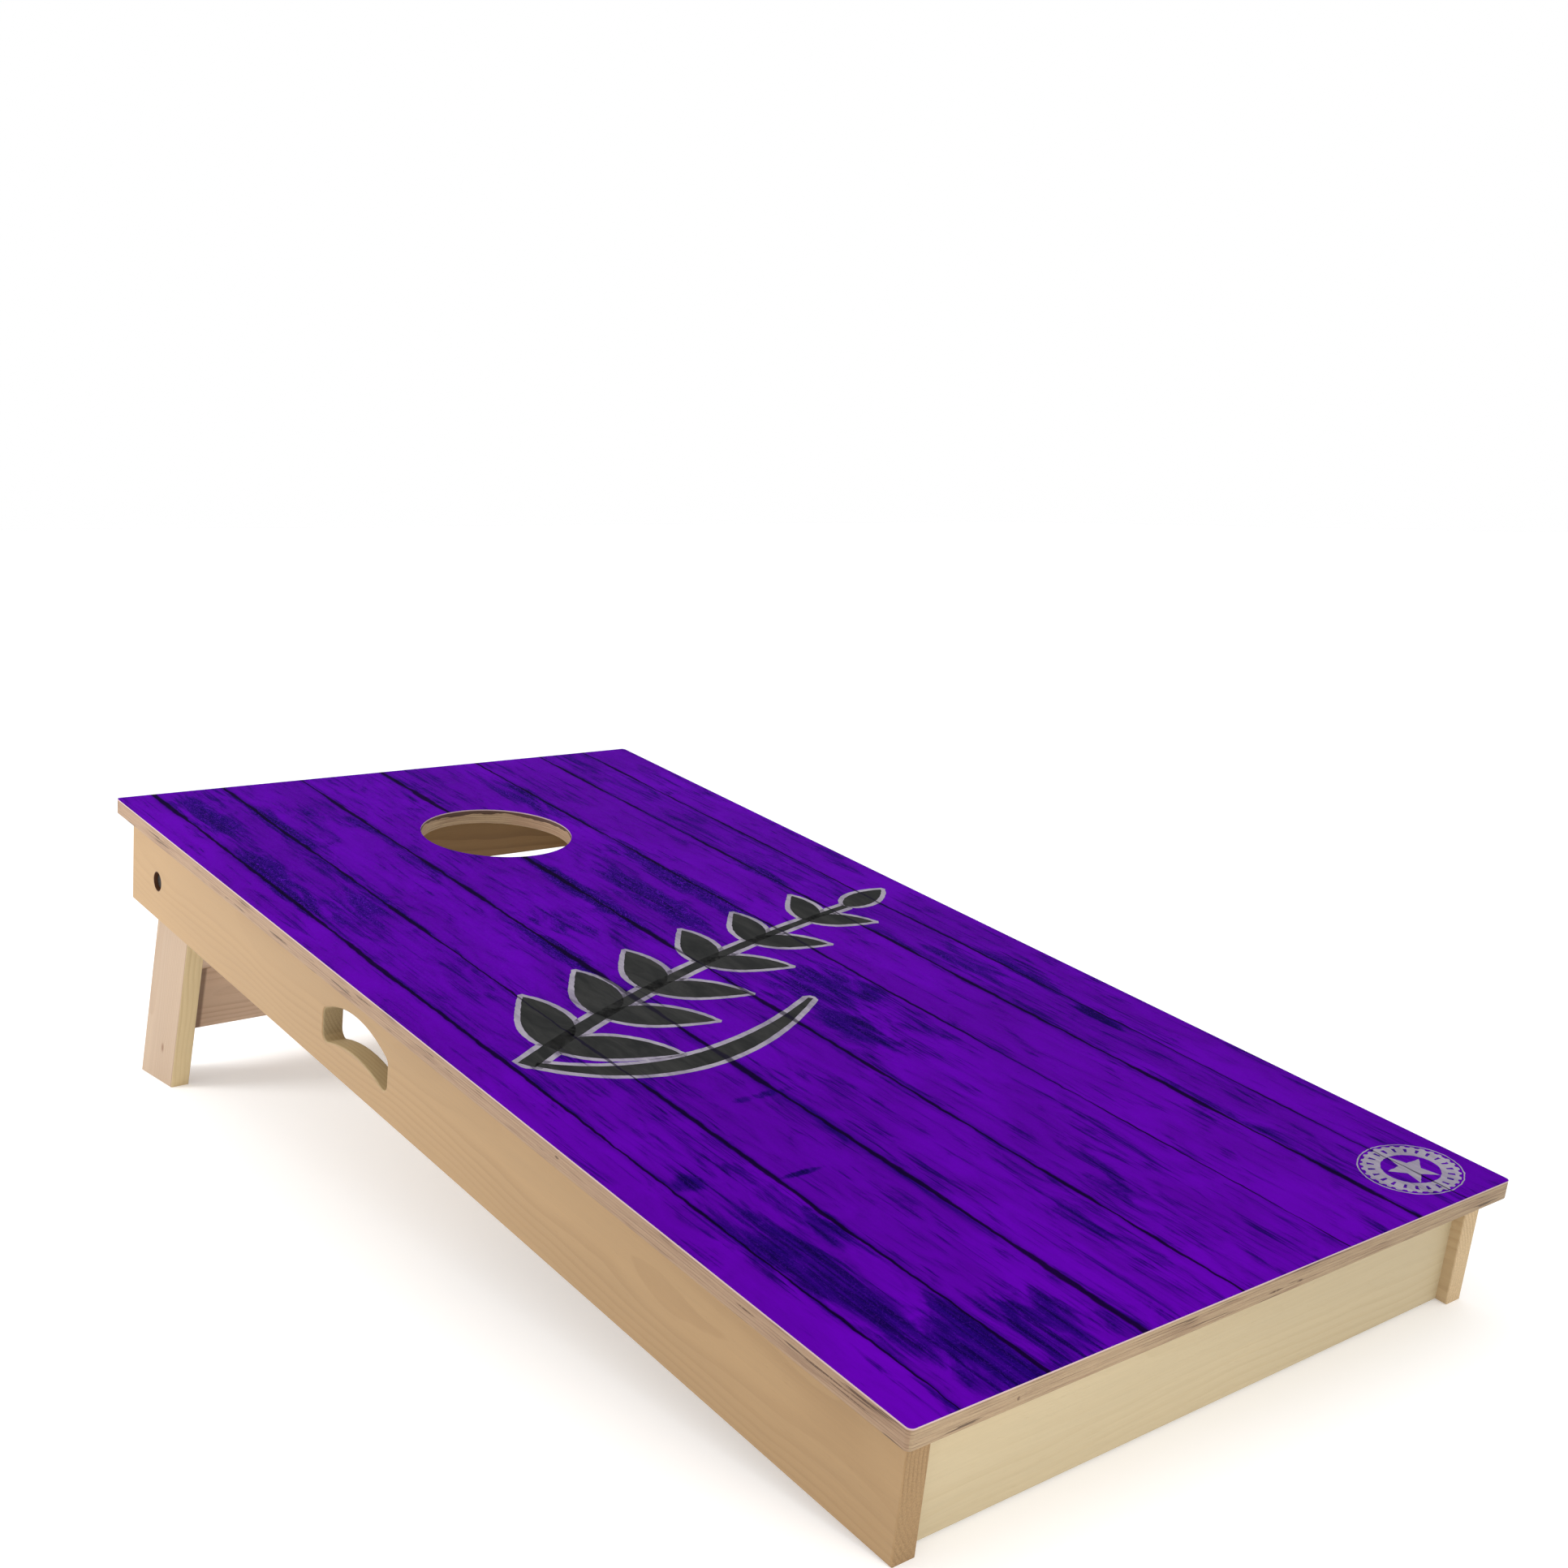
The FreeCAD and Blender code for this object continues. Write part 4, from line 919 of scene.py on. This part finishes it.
def add_prism(mesh, points, bottom, top):
    """A thin solid on a closed outline that can be seen whole from its middle."""
    points = [roughened(point) for point in subdivided(points)]
    middle_x = sum(point[0] for point in points) / len(points)
    middle_y = sum(point[1] for point in points) / len(points)
    lower = [mesh.verts.new((x, y, bottom)) for x, y in points]
    upper = [mesh.verts.new((x, y, top)) for x, y in points]
    lower_middle = mesh.verts.new((middle_x, middle_y, bottom))
    upper_middle = mesh.verts.new((middle_x, middle_y, top))
    for index in range(len(points)):
        after = (index + 1) % len(points)
        mesh.faces.new((upper[index], upper[after], upper_middle))
        mesh.faces.new((lower[after], lower[index], lower_middle))
        mesh.faces.new((lower[index], lower[after], upper[after], upper[index]))


def add_band(mesh, outer, inner, bottom, top):
    """A thin closed ring between two outlines with as many points each."""
    loops = []
    for outline in (outer, inner):
        rough = [roughened(point) for point in outline]
        loops.append([[mesh.verts.new((x, y, z)) for x, y in rough] for z in (bottom, top)])
    (outer_low, outer_high), (inner_low, inner_high) = loops
    for index in range(len(outer)):
        after = (index + 1) % len(outer)
        mesh.faces.new((outer_low[index], outer_low[after], outer_high[after], outer_high[index]))
        mesh.faces.new((inner_low[after], inner_low[index], inner_high[index], inner_high[after]))
        mesh.faces.new((outer_high[index], outer_high[after], inner_high[after], inner_high[index]))
        mesh.faces.new((outer_low[after], outer_low[index], inner_low[index], inner_low[after]))


def lay_print(name, mesh, centre, turn, material):
    """Lay a drawn layer on the film, turned about its middle, and make it ride on the frame."""
    data = bpy.data.meshes.new(name)
    bmesh.ops.recalc_face_normals(mesh, faces=mesh.faces)
    turned = Matrix.Rotation(math.radians(turn), 4, "Z")
    mesh.transform(DECK @ Matrix.Translation((*centre, 0)) @ turned)
    mesh.to_mesh(data)
    mesh.free()
    piece = bpy.data.objects.new(name, data)
    bpy.context.scene.collection.objects.link(piece)
    data.materials.append(material)
    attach(piece, "frame")


# The sprig: a stem, pairs of leaves that shrink towards its tip, one leaf at the tip, and a
# flourish under its root end. A path is its start, a point that draws it aside, and its end.
MOTIF_CENTRE = (0.308, 0.602)
MOTIF_TURN = 18.0
OUTLINE = 0.0052
BLUNT_END = 0.45

STEM = ((-0.278, -0.020), (-0.06, 0.030), (0.215, 0.006))
STEM_STEPS = 60
STEM_HALF_WIDTHS = (0.0075, 0.0035)
FLOURISH = ((-0.272, -0.024), (-0.215, -0.150), (-0.005, -0.098))
FLOURISH_STEPS = 44
FLOURISH_HALF_WIDTH = 0.0105
FLOURISH_TAPER = (0.10, 0.94)

# From the first pair of leaves to the last: the stem's step it grows from, its length, and for each
# side its angle in degrees; then how far each side's leaves bend, as a share of their length.
LEAF_PAIRS = 6
LEAF_STEPS = (5, 53)
LEAF_LENGTHS = (0.100, 0.066)
LEAF_SIDES = (((54, 46), -0.16), ((-50, -44), 0.12))
LEAF_HALF_WIDTH_SHARE = 0.21
LEAF_POINTS = 28
TIP_LEAF_ANGLE = 2
TIP_LEAF_LENGTH = 0.070
TIP_LEAF_HALF_WIDTH = 0.0135


def between(ends, share):
    """The value so far of the way from the first end to the last."""
    return ends[0] + (ends[1] - ends[0]) * share


def curve(start, pull, end, count):
    """Points along a curve from start to end, drawn towards a third point between them."""
    start, pull, end = Vector(start), Vector(pull), Vector(end)
    steps = [index / count for index in range(count + 1)]
    return [start * (1 - t) ** 2 + pull * 2 * t * (1 - t) + end * t ** 2 for t in steps]


def brush_stroke(mesh, path, half_widths, margin, bottom, top):
    """A thin solid on a stroke along a path, as wide at each point as asked, grown by a margin."""
    directions = []
    for index in range(len(path)):
        ahead, behind = path[min(index + 1, len(path) - 1)], path[max(index - 1, 0)]
        directions.append((ahead - behind).normalized())
    path = [path[0] - directions[0] * margin, *path, path[-1] + directions[-1] * margin]
    directions = [directions[0], *directions, directions[-1]]
    ends = margin * BLUNT_END
    half_widths = [ends, *(half + margin for half in half_widths), ends]
    rows = []
    for point, direction, half in zip(path, directions, half_widths):
        side = Vector((-direction.y, direction.x)) * half
        edges = [roughened(point + side), roughened(point - side)]
        rows.append([mesh.verts.new((x, y, z)) for z in (bottom, top) for x, y in edges])
    for row, after in zip(rows, rows[1:]):
        for one, other in ((0, 1), (1, 3), (3, 2), (2, 0)):
            mesh.faces.new((row[one], row[other], after[other], after[one]))
    for row in (rows[0], rows[-1]):
        mesh.faces.new((row[0], row[1], row[3], row[2]))


def leaf(root, angle, length, half_width, bend):
    """A leaf's midline and half widths: pointed at both ends, fullest before its middle."""
    heading = Vector((math.cos(math.radians(angle)), math.sin(math.radians(angle))))
    tip = Vector(root) + heading * length
    pull = Vector(root) + heading * length * 0.5 + Vector((-heading.y, heading.x)) * bend * length
    path = curve(root, pull, tip, LEAF_POINTS)
    shares = [index / LEAF_POINTS for index in range(LEAF_POINTS + 1)]
    return path, [half_width * math.sin(math.pi * share ** 0.8) ** 0.8 for share in shares]


def sprig():
    """The midline and half widths of every stroke of the sprig."""
    stem = curve(*STEM, STEM_STEPS)
    half_widths = [between(STEM_HALF_WIDTHS, step / STEM_STEPS) for step in range(STEM_STEPS + 1)]
    strokes = [(stem, half_widths)]
    for pair in range(LEAF_PAIRS):
        share = pair / (LEAF_PAIRS - 1)
        root = stem[round(between(LEAF_STEPS, share))]
        length = between(LEAF_LENGTHS, share)
        for angles, bend in LEAF_SIDES:
            half_width = length * LEAF_HALF_WIDTH_SHARE
            strokes.append(leaf(root, between(angles, share), length, half_width, bend))
    strokes.append(leaf(stem[-1], TIP_LEAF_ANGLE, TIP_LEAF_LENGTH, TIP_LEAF_HALF_WIDTH, 0.0))
    tapers = [between(FLOURISH_TAPER, step / FLOURISH_STEPS) for step in range(FLOURISH_STEPS + 1)]
    half_widths = [FLOURISH_HALF_WIDTH * math.sin(math.pi * taper) for taper in tapers]
    strokes.append((curve(*FLOURISH, FLOURISH_STEPS), half_widths))
    return strokes


pale_ink = make_ink("pale_ink", rgb(156, 150, 162), rgb(132, 124, 142))
charcoal_ink = make_ink("charcoal_ink", rgb(34, 35, 35), rgb(50, 50, 49))
plum_ink = make_ink("plum_ink", PURPLE, INDIGO)
ink_top = FILM_THICKNESS + INK_LAYER

for layer, margin, bottom, ink in (
    ("motif_outline", OUTLINE, FILM_THICKNESS, pale_ink),
    ("motif_fill", 0.0, ink_top, charcoal_ink),
):
    drawing = bmesh.new()
    for path, half_widths in sprig():
        brush_stroke(drawing, path, half_widths, margin, bottom, bottom + INK_LAYER)
    lay_print(layer, drawing, MOTIF_CENTRE, MOTIF_TURN, ink)

# The emblem: a thin ring, a broad toothed ring with notches in it, and a star. Each reach is from
# its middle.
EMBLEM_CENTRE = (0.552, 0.050)
EMBLEM_SQUASH = 0.80
RING_POINTS = 192
THIN_RING = (0.0462, 0.0450)
BROAD_RING = (0.0412, 0.0262)
TEETH = 30
TOOTH = 0.05
STAR_POINTS = 5
STAR_REACHES = (0.0215, 0.0092)
NOTCHES = 22
NOTCH_REACHES = (0.0315, 0.0378)
NOTCH_HALF_WIDTHS = (0.00096, 0.0016)


def ring(reach, tooth=0.0):
    """A circle's outline, its teeth so much further out, as a share of its reach."""
    outline = []
    for index in range(RING_POINTS):
        angle = 2 * math.pi * index / RING_POINTS
        far = reach * (1 + tooth * (math.sin(TEETH * angle) > 0))
        outline.append((far * math.cos(angle), far * EMBLEM_SQUASH * math.sin(angle)))
    return outline


def star():
    """A star's outline, one point straight ahead."""
    outline = []
    for index in range(STAR_POINTS * 2):
        angle = math.radians(90 + index * 180 / STAR_POINTS)
        reach = STAR_REACHES[index % 2]
        outline.append((reach * math.cos(angle), reach * math.sin(angle)))
    return outline


def notch(angle):
    """A short wedge that points out from the emblem's middle."""
    direction = Vector((math.cos(angle), math.sin(angle)))
    side = Vector((-direction.y, direction.x))
    (near, far), (narrow, wide) = NOTCH_REACHES, NOTCH_HALF_WIDTHS
    corners = (
        direction * near - side * narrow,
        direction * far - side * wide,
        direction * far + side * wide,
        direction * near + side * narrow,
    )
    return [(corner.x, corner.y * EMBLEM_SQUASH) for corner in corners]


emblem = bmesh.new()
add_band(emblem, ring(THIN_RING[0]), ring(THIN_RING[1]), FILM_THICKNESS, ink_top)
add_band(emblem, ring(BROAD_RING[0], TOOTH), ring(BROAD_RING[1]), FILM_THICKNESS, ink_top)
add_prism(emblem, star(), FILM_THICKNESS, ink_top)
lay_print("emblem_print", emblem, EMBLEM_CENTRE, 0.0, pale_ink)

notches = bmesh.new()
for index in range(NOTCHES):
    add_prism(notches, notch(2 * math.pi * index / NOTCHES), ink_top, ink_top + INK_LAYER)
lay_print("emblem_notches", notches, EMBLEM_CENTRE, 0.0, plum_ink)

# ------------------------------------------------------------------------------ floor and light

WHITE = (1.0, 1.0, 1.0, 1.0)
FLOOR_REACH = 30.0
FLOOR_SHADES = ((0.80, 0.80, 0.80, 1.0), (0.84, 0.84, 0.84, 1.0))
FLOOR_GLOW = 0.28
FLOOR_ROUGHNESS = 0.7
FLOOR_GLOSS = 0.1
FLOOR_GRAIN = Grain((1.0, 1.0, 1.0))

# Each area light: its place, what it points at, its two sides, and its power in watts.
LIGHTS = {
    "left_back_light": ((-1.7, 1.3, 0.8), (-0.3, 0.45, 0.15), (0.8, 0.7), 24.0),
    "front_light": ((-0.27, -1.12, 0.26), (-0.25, -0.6, 0.06), (0.25, 0.2), 1.0),
    "overhead_light": ((0.2, 0.0, 2.8), (cad_box[0] + cad_box[1]) / 2, (2.6, 2.6), 5.0),
}


def make_floor():
    data = bpy.data.meshes.new("floor")
    corners = ((-1, -1), (1, -1), (1, 1), (-1, 1))
    places = [(x * FLOOR_REACH, y * FLOOR_REACH, 0) for x, y in corners]
    data.from_pydata(places, [], [(0, 1, 2, 3)])
    floor = bpy.data.objects.new("floor", data)
    bpy.context.scene.collection.objects.link(floor)
    graph = Graph("studio_floor")
    colour = graph.mix(graph.noise(graph.coordinates.outputs["Object"], FLOOR_GRAIN), *FLOOR_SHADES)
    graph.shader.inputs["Emission Color"].default_value = WHITE
    graph.shader.inputs["Emission Strength"].default_value = FLOOR_GLOW
    data.materials.append(graph.finish(colour, FLOOR_ROUGHNESS, FLOOR_GLOSS))


def area_light(name, place, target, size, power):
    data = bpy.data.lights.new(name, "AREA")
    data.shape = "RECTANGLE"
    data.size, data.size_y = size
    data.energy = power
    light = bpy.data.objects.new(name, data)
    light.location = place
    light.rotation_euler = (Vector(target) - Vector(place)).to_track_quat("-Z", "Y").to_euler()
    bpy.context.scene.collection.objects.link(light)


make_floor()
for name, facts in LIGHTS.items():
    area_light(name, *facts)

world = bpy.data.worlds.new("studio_world")
world.use_nodes = True
world.node_tree.nodes["Background"].inputs["Color"].default_value = WHITE
world.node_tree.nodes["Background"].inputs["Strength"].default_value = 1.0
bpy.context.scene.world = world
bpy.context.scene.view_settings.view_transform = "Standard"

# The camera stands in front of the board's left front corner, a little above it. Its turn is in
# degrees about X, Y and Z, its lens and sensor in millimetres, its shift in picture widths.
CAMERA_PLACE = (-0.9705, -1.3677, 0.6110)
CAMERA_TURN = (81.678, -0.238, -40.367)
CAMERA_LENS = 43.9
CAMERA_SENSOR = 36.0
CAMERA_SHIFT = (-0.047, -0.006)

camera_data = bpy.data.cameras.new("camera")
camera_data.lens = CAMERA_LENS
camera_data.sensor_width = CAMERA_SENSOR
camera_data.shift_x, camera_data.shift_y = CAMERA_SHIFT
camera = bpy.data.objects.new("camera", camera_data)
camera.location = CAMERA_PLACE
camera.rotation_euler = Euler([math.radians(angle) for angle in CAMERA_TURN])
bpy.context.scene.collection.objects.link(camera)
bpy.context.scene.camera = camera
